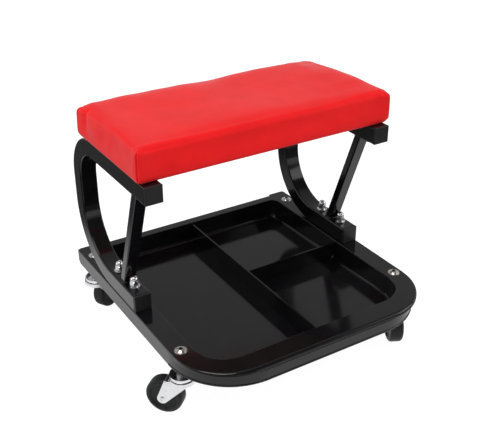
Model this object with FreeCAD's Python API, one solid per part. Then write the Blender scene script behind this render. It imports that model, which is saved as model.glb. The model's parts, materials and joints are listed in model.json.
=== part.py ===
import FreeCAD, Part
import math
import os

V = FreeCAD.Vector

# A mechanic's rolling seat: a padded seat on two C-shaped tubes, bolted to a pressed tool tray
# that rolls on four swivel casters. All sizes are in millimetres.
# The model is built with x = 0 on the middle of the tray, y = 0 at the front lip (+y to the
# rear) and z = 0 on the floor. Each piece is moved to the final origin when it is saved.

# Clearances and cutting
overrun = 2.0
snug_gap = 0.05
running_gap = 0.05

# Tray pan
tray_width = 380.0
tray_length = 390.0
sheet = 1.2
basin_to_rail = 2.0
front_flange = 33.0
rear_flange = 14.0
lip_corner = 78.0
lip_round = 5.0
lip_skirt = 1.0
lip_end_round = 1.5
flange_edge_round = 1.0
rear_corner = 5.0
hem_drop = 10.0
basin_depth = 30.0
basin_draft = 3.0
basin_front_corner = 45.0
basin_rear_corner = 12.0
basin_floor_round = 5.0
rim_round = 0.9

# Side rails and front rail
rail_sheet = 1.5
skirt_height = 24.0
rail_width = 27.0
rail_slot_gap = 1.5
rail_tail = 5.0
rail_tail_chamfer = 5.0
rail_round = 1.4
front_rail_corner_extra = 15.0
front_rail_top_gap = 1.2
front_rail_ledge = 9.0
front_rail_shelf = 12.0
front_rail_bead = 0.9
front_rail_bead_height = 3.0
rail_overlap = 30.0

# Dividers
divider_sheet = 1.0
divider_drop = 2.5
divider_hem_width = 2.2
divider_hem_height = 4.0
divider_foot = 10.0
floor_margin = 1.0
cross_divider_from_front = 205.0

# Seat brackets: one inch square tube bent into a C
tube = 25.4
tube_wall = 1.5
tube_corner = 2.5
lower_leg_front = 193.0
lower_bend = 101.0
riser = 39.0
upper_bend = 72.0
upper_leg_short_of_seat = 23.0
plug_lip = 0.3
plug_head = 4.0
plug_round = 1.0
plug_insert = 12.0
plug_wall = 2.0

# Braces
brace_width = 18.0
brace_thickness = 12.0
brace_wall = 1.5
brace_corner = 2.0
brace_foot_share = 0.4375
brace_top_behind_bolt = 15.5

# Bracket bolts, M6
bolt_radius = 3.0
bolt_hole_gap = 0.3
bolt_head_flats = 10.0
bolt_head_height = 4.0
bracket_bolt_from_leg_front = 22.0
bracket_bolt_pitch = 48.0
bracket_bolt_from_bend = 12.0
washer_radius = 8.0
washer_thickness = 1.6
spring_washer_radius = 5.6
spring_washer_thickness = 1.5
spring_washer_split = 1.2
cap_nut_flats = 11.0
cap_nut_hex_height = 6.5
cap_nut_dome = 5.4
cap_nut_dome_base = 1.6
cap_nut_end_wall = 1.4

# Seat
seat_overhang_side = 4.0
seat_depth = 189.0
seat_overhang_front = 9.0
seat_edge_height = 43.0
seat_crown = 5.0
seat_top_roll = 10.0
seat_bottom_roll = 4.0
seat_corner = 10.0
seat_side_draw = 2.0
seat_rear_draw = 4.0
cover_thickness = 1.0
cover_turn_in = 26.0
board_thickness = 12.0
board_gap = 0.5
board_corner = 15.0
seat_bolt_from_bend = 17.0
tee_nut_radius = 9.0
tee_nut_flange = 1.3
tee_nut_margin = 3.0
tee_nut_barrel_wall = 0.9
tee_nut_barrel_short = 1.7
seat_washer_radius = 6.0
seat_washer_thickness = 1.2
staple_crown = 10.0
staple_width = 1.0
staple_thickness = 0.5
staple_from_edge = 14.0
staples_per_row = 12

# Casters
wheel_radius = 26.0
wheel_width = 20.0
tread_round = 4.5
wheel_recess = 2.5
wheel_shoulder = 1.5
wheel_hub_wall = 3.5
wheel_hub_stand = 1.0
wheel_recess_slope = 1.5
caster_trail = 24.0
front_caster_from_front = 83.5
rear_caster_from_hem = 27.0
front_left_swivel_angle = 130.0
front_right_swivel_angle = -117.0
rear_left_swivel_angle = 30.0
rear_right_swivel_angle = 50.0
fork_sheet = 2.0
fork_top_gap = 1.5
fork_side_gap = 0.5
fork_ring_radius = 18.0
fork_ring_wall = 1.5
fork_ring_height = 3.5
fork_plate_rear = 21.0
fork_leg_front = 11.5
fork_leg_round = 7.0
fork_bend_round = 1.2
ball_radius = 1.95
ball_side_gap = 0.55
ball_count = 16
race_set_in = 1.5
race_wall = 1.5
race_height = 5.0
race_round = 1.2
rail_above_race = 12.0
spacer_wall = 2.8
caster_bolt_radius = 4.0
caster_bolt_hole_gap = 0.2
king_hole_gap = 0.08
caster_head_radius = 8.5
caster_head_flange = 1.0
caster_head_rim = 1.7
caster_head_dome = 2.8
caster_socket_flats = 5.0
caster_socket_depth = 2.4
lock_nut_gap = 0.3
lock_nut_flange_radius = 8.0
lock_nut_flange = 1.2
lock_nut_flats = 12.0
lock_nut_height = 4.0
lock_nut_to_wheel = 0.7
caster_bolt_tail = 0.8
axle_radius = 3.0
axle_head_radius = 4.5
axle_head_height = 1.6
axle_dimple_radius = 1.6
axle_dimple_depth = 0.9
bushing_wall = 1.45

# Sizes and places worked out from the sizes above
bolt_hole_radius = bolt_radius + bolt_hole_gap
caster_bolt_hole_radius = caster_bolt_radius + caster_bolt_hole_gap
king_hole_radius = caster_bolt_radius + king_hole_gap
spacer_radius = caster_bolt_hole_radius + spacer_wall
bushing_radius = axle_radius + snug_gap + bushing_wall
wheel_hub_radius = bushing_radius + wheel_hub_wall
wheel_hub_width = wheel_width + 2 * wheel_hub_stand
wheel_web_width = wheel_width - 2 * wheel_recess
wheel_rim_radius = wheel_radius - tread_round - wheel_shoulder
fork_inner_width = wheel_hub_width + 2 * fork_side_gap
race_radius = fork_ring_radius - race_set_in
ball_circle = fork_ring_radius - fork_ring_wall - ball_side_gap - ball_radius
lock_nut_stack = lock_nut_gap + lock_nut_flange + lock_nut_height + caster_bolt_tail
nut_to_axle = max(caster_trail - lock_nut_flange_radius, 0)
wheel_top_at_nut = wheel_radius + math.sqrt(max(wheel_radius ** 2 - nut_to_axle ** 2, 0))
fork_plate_under = max(wheel_radius + wheel_radius + fork_top_gap,
                       wheel_top_at_nut + lock_nut_to_wheel + lock_nut_stack)
fork_plate_top = fork_plate_under + fork_sheet
race_bottom = fork_plate_top + 2 * (ball_radius + snug_gap)
race_top = race_bottom + race_height
race_floor_top = race_bottom + race_wall
rail_bottom = race_top + rail_above_race
tray_height = rail_bottom + skirt_height
tray_rear = tray_length + rail_tail
flange_under = tray_height - sheet
web_under = flange_under - rail_sheet
lip_bottom = tray_height - lip_round - lip_skirt
front_rail_top = lip_bottom - front_rail_top_gap
front_rail_corner = lip_corner + front_rail_corner_extra
side_flange = rail_width + basin_to_rail
basin_half_width = tray_width / 2 - side_flange
basin_front = front_flange
basin_rear = tray_length - rear_flange
basin_floor = tray_height - basin_depth
rail_middle = tray_width / 2 - rail_width / 2
rail_return = rail_width / 2 - rail_sheet - spacer_radius - rail_slot_gap
tube_middle = tray_width / 2 - tube / 2
leg_top = tray_height + tube
lower_leg = bracket_bolt_from_leg_front + bracket_bolt_pitch + bracket_bolt_from_bend
lower_bend_y = lower_leg_front + lower_leg
lower_bend_z = tray_height + lower_bend
bracket_rear = lower_bend_y + lower_bend
upper_bend_y = bracket_rear - upper_bend
upper_bend_z = lower_bend_z + riser
seat_bottom = upper_bend_z + upper_bend
upper_leg_under = seat_bottom - tube
upper_leg = seat_depth - upper_leg_short_of_seat
upper_leg_front = upper_bend_y - upper_leg
seat_width = tray_width + 2 * seat_overhang_side
seat_front = upper_leg_front - plug_head + seat_overhang_front
seat_middle = seat_front + seat_depth / 2
board_edge = cover_thickness + seat_bottom_roll + board_gap
board_bottom = seat_bottom + cover_thickness
board_top = board_bottom + board_thickness
front_bracket_bolt = lower_leg_front + bracket_bolt_from_leg_front
front_seat_bolt = seat_front + board_edge + tee_nut_margin + tee_nut_radius
brace_foot = front_bracket_bolt + bracket_bolt_pitch * brace_foot_share
brace_lean = brace_foot - front_seat_bolt - brace_top_behind_bolt
tee_nut_barrel_radius = bolt_radius + tee_nut_barrel_wall
tee_nut_barrel = board_thickness - tee_nut_flange - tee_nut_barrel_short
caster_head_dome_radius = caster_head_radius - caster_head_rim
rear_caster_from_front = tray_length - rear_caster_from_hem
casters = {
    "front_left": (-rail_middle, front_caster_from_front, front_left_swivel_angle),
    "front_right": (rail_middle, front_caster_from_front, front_right_swivel_angle),
    "rear_left": (-rail_middle, rear_caster_from_front, rear_left_swivel_angle),
    "rear_right": (rail_middle, rear_caster_from_front, rear_right_swivel_angle),
}


def wheel_reach(turn):
    """How far a wheel reaches from its middle, along a line at this angle to its rolling way."""
    flat_radius = wheel_radius - tread_round
    flat_half_width = wheel_width / 2 - tread_round
    return abs(math.cos(turn)) * flat_radius + abs(math.sin(turn)) * flat_half_width + tread_round


def reach_list(axis):
    """Lowest and highest place of each wheel along x (axis 0) or y (axis 1)."""
    places = []
    for king_x, king_y, swivel in casters.values():
        turn = math.radians(swivel) - axis * math.pi / 2
        middle = (king_x, king_y)[axis] + caster_trail * math.cos(turn)
        places += [middle - wheel_reach(turn), middle + wheel_reach(turn)]
    return places


x_places = reach_list(0) + [-seat_width / 2, seat_width / 2, -tray_width / 2, tray_width / 2]
y_places = reach_list(1) + [-front_rail_bead, tray_rear]
origin_shift = V(-(min(x_places) + max(x_places)) / 2, -(min(y_places) + max(y_places)) / 2, 0)


def save(name, solids):
    """Move a piece, or a group of like pieces, to the final origin and write it."""
    group = solids if isinstance(solids, list) else [solids]
    shape = group[0] if len(group) == 1 else Part.makeCompound(group)
    shape.translate(origin_shift)
    shape.exportStep("parts/" + name + ".step")
    box = shape.BoundBox
    print(f"{name:28s} solids {len(shape.Solids):3d} valid {shape.isValid()} volume {shape.Volume:10.1f}"
          f" z {box.ZMin:7.2f} {box.ZMax:7.2f}")


def box_between(x0, x1, y0, y1, z0, z1):
    return Part.makeBox(x1 - x0, y1 - y0, z1 - z0, V(x0, y0, z0))


def rounded_rectangle(x0, x1, y0, y1, front_radius, rear_radius, z):
    """Closed outline at height z: straight sides and one arc at each corner."""
    corners = [
        (x0, y0, 1, 1, front_radius), (x1, y0, -1, 1, front_radius),
        (x1, y1, -1, -1, rear_radius), (x0, y1, 1, -1, rear_radius),
    ]
    points = []
    for x, y, in_x, in_y, radius in corners:
        toward_middle = radius * (1 - math.sqrt(0.5))
        along_x = V(x + in_x * radius, y, z)
        along_y = V(x, y + in_y * radius, z)
        middle = V(x + in_x * toward_middle, y + in_y * toward_middle, z)
        if in_x == in_y:
            points.append((along_y, middle, along_x))
        else:
            points.append((along_x, middle, along_y))
    edges = []
    for index, (start, middle, end) in enumerate(points):
        edges.append(Part.Arc(start, middle, end).toShape())
        edges.append(Part.makeLine(end, points[(index + 1) % len(points)][0]))
    return Part.Wire(edges)


def prism(wire, height):
    return Part.Face(wire).extrude(V(0, 0, height))


def tray_outline(inset, z):
    """The tray's plan, or one drawn in evenly by inset."""
    half = tray_width / 2 - inset
    rear = max(rear_corner - inset, sheet)
    return rounded_rectangle(-half, half, inset, tray_rear - inset, lip_corner - inset, rear, z)


def front_rail_outline(inset, z):
    """Plan of the front rail's face, closed well behind it, or one drawn in by inset."""
    half = tray_width / 2 - inset
    corner = front_rail_corner - inset
    return rounded_rectangle(-half, half, inset, tray_rear, corner, rear_corner, z)


def basin_solid(grow, top, floor):
    """The drafted basin with a rounded floor edge, grown outwards by a sheet thickness."""
    wires = []
    for draft, z in ((0, top), (basin_draft, floor)):
        half = basin_half_width + grow - draft
        wires.append(rounded_rectangle(
            -half, half, basin_front - grow + draft, basin_rear + grow - draft,
            basin_front_corner + grow - draft, basin_rear_corner + grow - draft, z))
    solid = Part.makeLoft(wires, True, True)
    floor_edges = [e for e in solid.Edges if abs(e.BoundBox.ZMax - floor) < snug_gap]
    return solid.makeFillet(basin_floor_round + grow, floor_edges)


def vertical_hole(x, y, radius, z0, z1):
    return Part.makeCylinder(radius, z1 - z0, V(x, y, z0))


def caster_holes(radius, z0, z1):
    return [vertical_hole(x, y, radius, z0, z1) for x, y, swivel in casters.values()]


def bracket_bolt_places():
    rows = (front_bracket_bolt, front_bracket_bolt + bracket_bolt_pitch)
    return [(side * tube_middle, y) for side in (-1, 1) for y in rows]


def seat_bolt_places():
    rows = (front_seat_bolt, upper_bend_y - seat_bolt_from_bend)
    return [(side * tube_middle, y) for side in (-1, 1) for y in rows]


def bolt_holes(places, radius, z0, z1):
    return [vertical_hole(x, y, radius, z0, z1) for x, y in places]


def rolled_block(inset, bottom, top):
    """Front end of the tray's plan as a block: its top edge is rolled, less towards the sides."""
    block = prism(tray_outline(inset, bottom), top - bottom)
    straight = tray_width / 2 - lip_corner
    roll = lip_round - inset
    end_roll = lip_end_round - inset
    pieces = []
    for x0, x1, first, last in ((-tray_width, -straight, end_roll, roll), (-straight, straight, roll, roll),
                                (straight, tray_width, roll, end_roll)):
        piece = block.common(box_between(x0, x1, -overrun, lip_corner, bottom, top))
        edges = [e for e in piece.Edges if e.BoundBox.ZMin > top - snug_gap
                 and e.BoundBox.YMin < lip_corner - snug_gap and e.BoundBox.XLength > snug_gap]
        pieces.append(piece.makeFillet(first, last, edges))
    return pieces[0].fuse(pieces[1:])


def make_tray_pan():
    """Flange, rolled front lip, rear hem and basin, all of one sheet."""
    side_inner = tray_width / 2 - side_flange
    z0, z1 = lip_bottom - overrun, tray_height + overrun
    lip = rolled_block(0, lip_bottom, tray_height).cut(rolled_block(sheet, z0, flange_under))
    flange = prism(tray_outline(0, flange_under), sheet)
    flange = flange.common(box_between(-tray_width, tray_width, lip_corner, tray_rear, z0, z1))
    flange = flange.makeFillet(min(flange_edge_round, sheet - snug_gap), [
        e for e in flange.Edges if e.BoundBox.ZMin > tray_height - snug_gap
        and e.BoundBox.YMax > lip_corner + snug_gap])
    flange = flange.cut(box_between(-side_inner, side_inner, tray_length, tray_rear + overrun, z0, z1))
    hem = box_between(-side_inner, side_inner, tray_length - sheet, tray_length,
                      tray_height - hem_drop, tray_height)
    pan = flange.fuse([lip, hem, basin_solid(sheet, tray_height, basin_floor - sheet)])
    pan = pan.cut(basin_solid(0, tray_height, basin_floor)).removeSplitter()
    rim = []
    for edge in pan.Edges:
        box = edge.BoundBox
        flat = abs(box.ZMin - tray_height) < snug_gap and abs(box.ZMax - tray_height) < snug_gap
        inside = max(abs(box.XMin), abs(box.XMax)) < basin_half_width + snug_gap
        between = box.YMin > basin_front - snug_gap and box.YMax < basin_rear + snug_gap
        if flat and inside and between:
            rim.append(edge)
    pan = pan.makeFillet(rim_round, rim)
    tools = caster_holes(caster_bolt_hole_radius, z0, z1)
    tools += bolt_holes(bracket_bolt_places(), bolt_hole_radius, z0, z1)
    pan = pan.cut(tools).Solids[0]
    pieces, sources = pan.generalFuse(compartment_floor_blocks())
    return sources[0][0]


def compartment_floor_blocks():
    """Blocks on the flat floor of the three compartments; each marks off its floor as one face."""
    edge = basin_draft + basin_floor_round + floor_margin
    half = basin_half_width - edge
    front = basin_front + edge
    rear = basin_rear - edge
    flat = prism(rounded_rectangle(-half, half, front, rear, basin_front_corner - edge,
                                   max(basin_rear_corner - edge, floor_margin), basin_floor), sheet)
    top = basin_floor + sheet
    left_end = -divider_sheet / 2 - floor_margin
    right_start = divider_foot + floor_margin
    cross_front = cross_divider_from_front - divider_sheet / 2 - floor_margin
    cross_rear = cross_divider_from_front + divider_foot + floor_margin
    return [
        flat.common(box_between(-half, left_end, front, rear, basin_floor, top)),
        flat.common(box_between(right_start, half, front, cross_front, basin_floor, top)),
        flat.common(box_between(right_start, half, cross_rear, rear, basin_floor, top)),
    ]


def make_side_rail(side):
    """Channel open downwards, with small returns; its front end is trimmed to the front rail."""
    rail_front = front_rail_corner - rail_overlap
    inner = tray_width / 2 - rail_width
    outer = tray_width / 2
    body = box_between(inner, outer, rail_front, tray_rear, rail_bottom, flange_under)
    tail = [e for e in body.Edges if e.BoundBox.YMin > tray_rear - snug_gap
            and e.BoundBox.ZMax < rail_bottom + snug_gap]
    body = body.makeChamfer(rail_tail_chamfer, tail)
    top = [e for e in body.Edges if e.BoundBox.XMin > outer - snug_gap
           and e.BoundBox.ZMin > flange_under - snug_gap]
    body = body.makeFillet(min(rail_round, rail_sheet - snug_gap), top)
    hollow = box_between(inner + rail_sheet, outer - rail_sheet, rail_front - overrun,
                         tray_rear + overrun, rail_bottom + rail_sheet, web_under)
    slot = box_between(inner + rail_sheet + rail_return, outer - rail_sheet - rail_return,
                       rail_front - overrun, tray_rear + overrun, rail_bottom - overrun, web_under)
    body = body.cut([hollow, slot])
    trim = box_between(0, outer + overrun, -overrun, front_rail_corner, 0, tray_height)
    trim = trim.cut(prism(front_rail_outline(rail_sheet, 0), tray_height))
    body = body.cut(trim)
    if side < 0:
        body = body.mirror(V(0, 0, 0), V(1, 0, 0))
    tools = caster_holes(caster_bolt_hole_radius, web_under - overrun, tray_height)
    tools += bolt_holes(bracket_bolt_places(), bolt_hole_radius, web_under - overrun, tray_height)
    return body.cut(tools)


def make_front_rail():
    """Pressed strip: a face with a rolled bead, a ledge under the lip, a riser and a shelf."""
    face = prism(front_rail_outline(0, rail_bottom), front_rail_top - rail_bottom)
    bead = prism(front_rail_outline(-front_rail_bead, rail_bottom), front_rail_bead_height)
    bead = bead.makeFillet(front_rail_bead, [
        e for e in bead.Edges if e.BoundBox.ZMax - e.BoundBox.ZMin < snug_gap])
    hollow = prism(front_rail_outline(rail_sheet, rail_bottom - overrun),
                   front_rail_top - rail_sheet - rail_bottom + overrun)
    strip = face.fuse(bead).cut(hollow)
    riser = prism(front_rail_outline(front_rail_ledge - rail_sheet, front_rail_top - rail_sheet),
                  flange_under - front_rail_top + rail_sheet)
    strip = strip.fuse(riser)
    inside = prism(front_rail_outline(front_rail_ledge, rail_bottom), web_under - rail_bottom)
    strip = strip.cut(inside)
    shelf_inset = front_rail_ledge + front_rail_shelf
    strip = strip.cut(prism(front_rail_outline(shelf_inset, rail_bottom), tray_height - rail_bottom))
    shelf_half = basin_half_width - basin_front_corner
    for side in (-1, 1):
        x0, x1 = sorted((side * shelf_half, side * tray_width))
        inner = prism(front_rail_outline(rail_sheet, rail_bottom), tray_height - rail_bottom)
        strip = strip.cut(inner.common(box_between(
            x0, x1, -overrun, tray_rear + overrun, rail_bottom, tray_height)))
    keep = box_between(-tray_width, tray_width, -overrun, front_rail_corner, 0, tray_height)
    strip = strip.common(keep)
    end = prism(front_rail_outline(0, front_rail_top), flange_under - front_rail_top)
    end = end.cut(prism(front_rail_outline(rail_sheet, front_rail_top), flange_under - front_rail_top))
    end = end.common(box_between(-tray_width, tray_width, lip_corner + front_rail_top_gap,
                                 front_rail_corner, 0, tray_height))
    end = end.makeFillet(min(rail_round, rail_sheet - snug_gap), [
        e for e in end.Edges if e.BoundBox.ZMin > flange_under - snug_gap
        and e.BoundBox.YLength > snug_gap
        and max(abs(e.BoundBox.XMin), abs(e.BoundBox.XMax)) > tray_width / 2 - snug_gap])
    return strip.fuse(end).removeSplitter()


def basin_half_at(z):
    """Half width of the basin's inside at height z."""
    return basin_half_width - basin_draft * (tray_height - z) / basin_depth


def make_long_divider():
    """Upright sheet from the basin's front wall to its rear wall, with a hemmed top and a foot."""
    top = tray_height - divider_drop
    top_draft = basin_half_width - basin_half_at(top)
    front_top = basin_front + top_draft + snug_gap
    rear_top = basin_rear - top_draft - snug_gap
    end = basin_floor_round
    front_low = basin_front + basin_draft + end
    rear_low = basin_rear - basin_draft - end
    shoulder = basin_floor + end
    front_side = front_top + basin_half_at(top) - basin_half_at(shoulder)
    rear_side = rear_top - basin_half_at(top) + basin_half_at(shoulder)
    floor = basin_floor
    x0 = -divider_sheet / 2
    outline = [(front_low, floor), (rear_low, floor), (rear_side, shoulder), (rear_top, top),
               (front_top, top), (front_side, shoulder)]
    points = [V(x0, y, z) for y, z in outline]
    web = Part.Face(Part.makePolygon(points + points[:1])).extrude(V(divider_sheet, 0, 0))
    hem = box_between(-divider_hem_width / 2, divider_hem_width / 2, front_top + divider_hem_width,
                      rear_top - divider_hem_width, top - divider_hem_height, top)
    foot = box_between(0, divider_foot, front_low + end, rear_low - end, floor, floor + divider_sheet)
    return web.fuse([hem, foot]).removeSplitter()


def make_cross_divider():
    """Shorter sheet from the long divider to the right wall, with a hemmed top and a foot."""
    top = tray_height - divider_drop
    x0 = divider_hem_width / 2 + snug_gap
    foot_x0 = divider_foot + divider_sheet
    shoulder = basin_floor + basin_floor_round
    x_low = basin_half_at(basin_floor) - basin_floor_round
    y = cross_divider_from_front
    over_foot = basin_floor + divider_sheet + snug_gap
    outline = [(x0, over_foot), (foot_x0, over_foot), (foot_x0, basin_floor), (x_low, basin_floor),
               (basin_half_at(shoulder) - snug_gap, shoulder), (basin_half_at(top) - snug_gap, top),
               (x0, top)]
    points = [V(x, y - divider_sheet / 2, z) for x, z in outline]
    web = Part.Face(Part.makePolygon(points + points[:1])).extrude(V(0, divider_sheet, 0))
    hem = box_between(x0, basin_half_at(top) - divider_hem_width, y - divider_hem_width / 2,
                      y + divider_hem_width / 2, top - divider_hem_height, top)
    foot = box_between(foot_x0, x_low - basin_floor_round, y, y + divider_foot,
                       basin_floor, basin_floor + divider_sheet)
    return web.fuse([hem, foot]).removeSplitter()


def square_face(size, corner, y, z):
    """Rounded square in the XZ plane, centred at x = 0 and this y and z."""
    wire = rounded_rectangle(-size / 2, size / 2, -size / 2, size / 2, corner, corner, 0)
    face = Part.Face(wire)
    face.rotate(V(0, 0, 0), V(1, 0, 0), 90)
    face.translate(V(0, y, z))
    return face


def c_shape(size, corner):
    """The C-shaped path with a square section: leg, bend, riser, bend, leg."""
    low_z = tray_height + tube / 2
    high_z = seat_bottom - tube / 2
    rear_y = bracket_rear - tube / 2
    lower = square_face(size, corner, lower_leg_front, low_z).extrude(V(0, lower_leg, 0))
    bend = square_face(size, corner, lower_bend_y, low_z)
    bend = bend.revolve(V(0, lower_bend_y, lower_bend_z), V(1, 0, 0), 90)
    section = Part.Face(rounded_rectangle(-size / 2, size / 2, rear_y - size / 2, rear_y + size / 2,
                                          corner, corner, lower_bend_z))
    upright = section.extrude(V(0, 0, riser))
    top_bend = section.translated(V(0, 0, riser))
    top_bend = top_bend.revolve(V(0, upper_bend_y, upper_bend_z), V(1, 0, 0), 90)
    upper = square_face(size, corner, upper_leg_front, high_z).extrude(V(0, upper_leg, 0))
    return lower.fuse([bend, upright, top_bend, upper]).removeSplitter()


def make_bracket(side):
    outer = c_shape(tube, tube_corner)
    inner = c_shape(tube - 2 * tube_wall, tube_corner - tube_wall)
    body = outer.cut(inner)
    body.translate(V(side * tube_middle, 0, 0))
    tools = bolt_holes(bracket_bolt_places(), bolt_hole_radius, tray_height - overrun, leg_top + overrun)
    tools += bolt_holes(seat_bolt_places(), bolt_hole_radius, upper_leg_under - overrun,
                        seat_bottom + overrun)
    return body.cut(tools)


def make_tube_plugs():
    """Plastic plugs in the front ends of both legs of both brackets."""
    plugs = []
    inner = tube - 2 * (tube_wall + snug_gap)
    legs = ((lower_leg_front, tray_height + tube / 2), (upper_leg_front, seat_bottom - tube / 2))
    for side in (-1, 1):
        for front, z in legs:
            head_size = tube - 2 * plug_lip
            head = box_between(-head_size / 2, head_size / 2, front - plug_head, front,
                               z - head_size / 2, z + head_size / 2)
            rounded = [e for e in head.Edges if e.BoundBox.YMin < front - snug_gap]
            head = head.makeFillet(plug_round, rounded)
            insert = square_face(inner, tube_corner - tube_wall, front, z).extrude(V(0, plug_insert, 0))
            core = inner - 2 * plug_wall
            hollow = box_between(-core / 2, core / 2, front, front + plug_insert + overrun,
                                 z - core / 2, z + core / 2)
            plug = head.fuse(insert.cut(hollow)).removeSplitter()
            plug.translate(V(side * tube_middle, 0, 0))
            plugs.append(plug)
    return plugs


def make_brace(side):
    """Rectangular tube between the two legs, cut level at both ends."""
    height = upper_leg_under - leg_top
    lean = math.atan2(brace_lean, height)
    long = math.hypot(brace_lean, height)
    wires = []
    for wall in (0, brace_wall):
        half_x = brace_width / 2 - wall
        half_y = brace_thickness / 2 - wall
        corner = max(brace_corner - wall, brace_corner / 4)
        wires.append(rounded_rectangle(-half_x, half_x, -half_y, half_y, corner, corner, -brace_thickness))
    stock = prism(wires[0], long + 2 * brace_thickness).cut(prism(wires[1], long + 2 * brace_thickness))
    stock.rotate(V(0, 0, 0), V(1, 0, 0), math.degrees(lean))
    stock.translate(V(side * tube_middle, brace_foot, leg_top))
    return stock.common(box_between(-tray_width, tray_width, 0, tray_rear, leg_top, upper_leg_under))


def lathe(profile):
    """Turn a closed profile of (radius, height) points about the z axis."""
    points = [V(radius, 0, z) for radius, z in profile]
    return Part.Face(Part.makePolygon(points + points[:1])).revolve(V(0, 0, 0), V(0, 0, 1), 360)


def hexagon(flats, z, height, chamfer_share=0.12):
    """Hexagonal prism whose corners are turned off at both ends."""
    corner = flats / 2 / math.cos(math.pi / 6)
    turns = [math.radians(60 * step) for step in range(6)]
    points = [V(corner * math.cos(t), corner * math.sin(t), z) for t in turns]
    body = Part.Face(Part.makePolygon(points + points[:1])).extrude(V(0, 0, height))
    edge = height * chamfer_share
    reach = corner + snug_gap
    cone = lathe([(0, z), (flats / 2, z), (reach, z + edge), (reach, z + height - edge),
                  (flats / 2, z + height), (0, z + height)])
    return body.common(cone)


def bolt_with_head(head_z, end_z, flats, head_height, radius):
    """Hexagon-headed bolt standing on its head: the head is below head_z, the shank above."""
    head = hexagon(flats, head_z - head_height, head_height)
    shank = Part.makeCylinder(radius, end_z - head_z, V(0, 0, head_z))
    return head.fuse(shank)


def ring(inner, outer, z0, z1):
    disc = Part.makeCylinder(outer, z1 - z0, V(0, 0, z0))
    return disc.cut(Part.makeCylinder(inner, z1 - z0, V(0, 0, z0)))


def at_places(shape, places):
    return [shape.translated(V(x, y, 0)) for x, y in places]


def cap_nut_height():
    return cap_nut_hex_height + cap_nut_dome_base + cap_nut_dome


def make_bracket_fasteners():
    """Bolts from under the rails; washers, spring washers and cap nuts on the lower legs."""
    places = bracket_bolt_places()
    washer_top = leg_top + washer_thickness
    nut_base = washer_top + spring_washer_thickness
    nut_top = nut_base + cap_nut_height()
    bore_top = nut_top - cap_nut_end_wall - cap_nut_dome / 2
    bolt_end = bore_top - snug_gap
    save("bracket_bolts", at_places(
        bolt_with_head(web_under, bolt_end, bolt_head_flats, bolt_head_height, bolt_radius), places))
    save("bracket_washers", at_places(ring(bolt_hole_radius, washer_radius, leg_top, washer_top), places))
    spring = ring(bolt_radius + snug_gap, spring_washer_radius, washer_top, nut_base)
    split = box_between(0, spring_washer_radius + overrun, -spring_washer_split / 2,
                        spring_washer_split / 2, washer_top - overrun, nut_base + overrun)
    save("bracket_spring_washers", at_places(spring.cut(split), places))
    hex_top = nut_base + cap_nut_hex_height
    collar = Part.makeCylinder(cap_nut_dome, cap_nut_dome_base, V(0, 0, hex_top))
    ball = Part.makeSphere(cap_nut_dome, V(0, 0, hex_top + cap_nut_dome_base))
    nut = hexagon(cap_nut_flats, nut_base, cap_nut_hex_height).fuse([collar, ball.common(box_between(
        -cap_nut_flats, cap_nut_flats, -cap_nut_flats, cap_nut_flats, hex_top, nut_top))])
    bore = Part.makeCylinder(bolt_radius + snug_gap, bore_top - nut_base, V(0, 0, nut_base))
    save("bracket_cap_nuts", at_places(nut.removeSplitter().cut(bore), places))


def cushion_ring(inset, z, draw_share):
    """One level of the cushion: sides drawn in a little between the corners."""
    half_x = seat_width / 2 - inset
    front = seat_front + inset
    rear = seat_front + seat_depth - inset
    r = seat_corner
    cut = r * (1 - math.sqrt(0.5))
    draw = seat_side_draw * draw_share
    rear_draw = seat_rear_draw * draw_share
    sides = [
        (V(-half_x + r, front, z), V(0, front + draw, z), V(half_x - r, front, z)),
        (V(half_x, front + r, z), V(half_x - draw, seat_middle, z), V(half_x, rear - r, z)),
        (V(half_x - r, rear, z), V(0, rear - rear_draw, z), V(-half_x + r, rear, z)),
        (V(-half_x, rear - r, z), V(-half_x + draw, seat_middle, z), V(-half_x, front + r, z)),
    ]
    corners = [V(half_x - cut, front + cut, z), V(half_x - cut, rear - cut, z),
               V(-half_x + cut, rear - cut, z), V(-half_x + cut, front + cut, z)]
    edges = []
    for index, (start, middle, end) in enumerate(sides):
        edges.append(Part.Arc(start, middle, end).toShape())
        edges.append(Part.Arc(end, corners[index], sides[(index + 1) % len(sides)][0]).toShape())
    return Part.Wire(edges)


def cushion_levels():
    """(inset, height, share of the draw) of each level: bottom roll, side, top roll, crown."""
    steps = 4
    foot_share = 0.1
    levels = []
    for step in range(steps):
        turn = math.pi / 2 * step / steps
        levels.append((seat_bottom_roll * (1 - math.sin(turn)),
                       seat_bottom_roll * (1 - math.cos(turn)), foot_share))
    levels.append((0, seat_bottom_roll, foot_share))
    for step in range(steps):
        turn = math.pi / 2 * step / steps
        rise = seat_edge_height - seat_top_roll + seat_top_roll * math.sin(turn)
        levels.append((seat_top_roll * (1 - math.cos(turn)), rise, 1))
    deepest = seat_depth / 2 - seat_corner - seat_rear_draw
    for step in range(steps + 1):
        way = step / steps
        inset = seat_top_roll + (deepest - seat_top_roll) * way
        levels.append((inset, seat_edge_height + seat_crown * (1 - (1 - way) ** 2), 1))
    return levels


def cushion_body(skin):
    """The whole cushion, or what lies inside a skin of this thickness."""
    full_height = seat_edge_height + seat_crown
    squeeze = (full_height - 2 * skin) / full_height
    wires = [cushion_ring(inset + skin, seat_bottom + skin + height * squeeze, draw_share)
             for inset, height, draw_share in cushion_levels()]
    return Part.makeLoft(wires, True, True)


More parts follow.
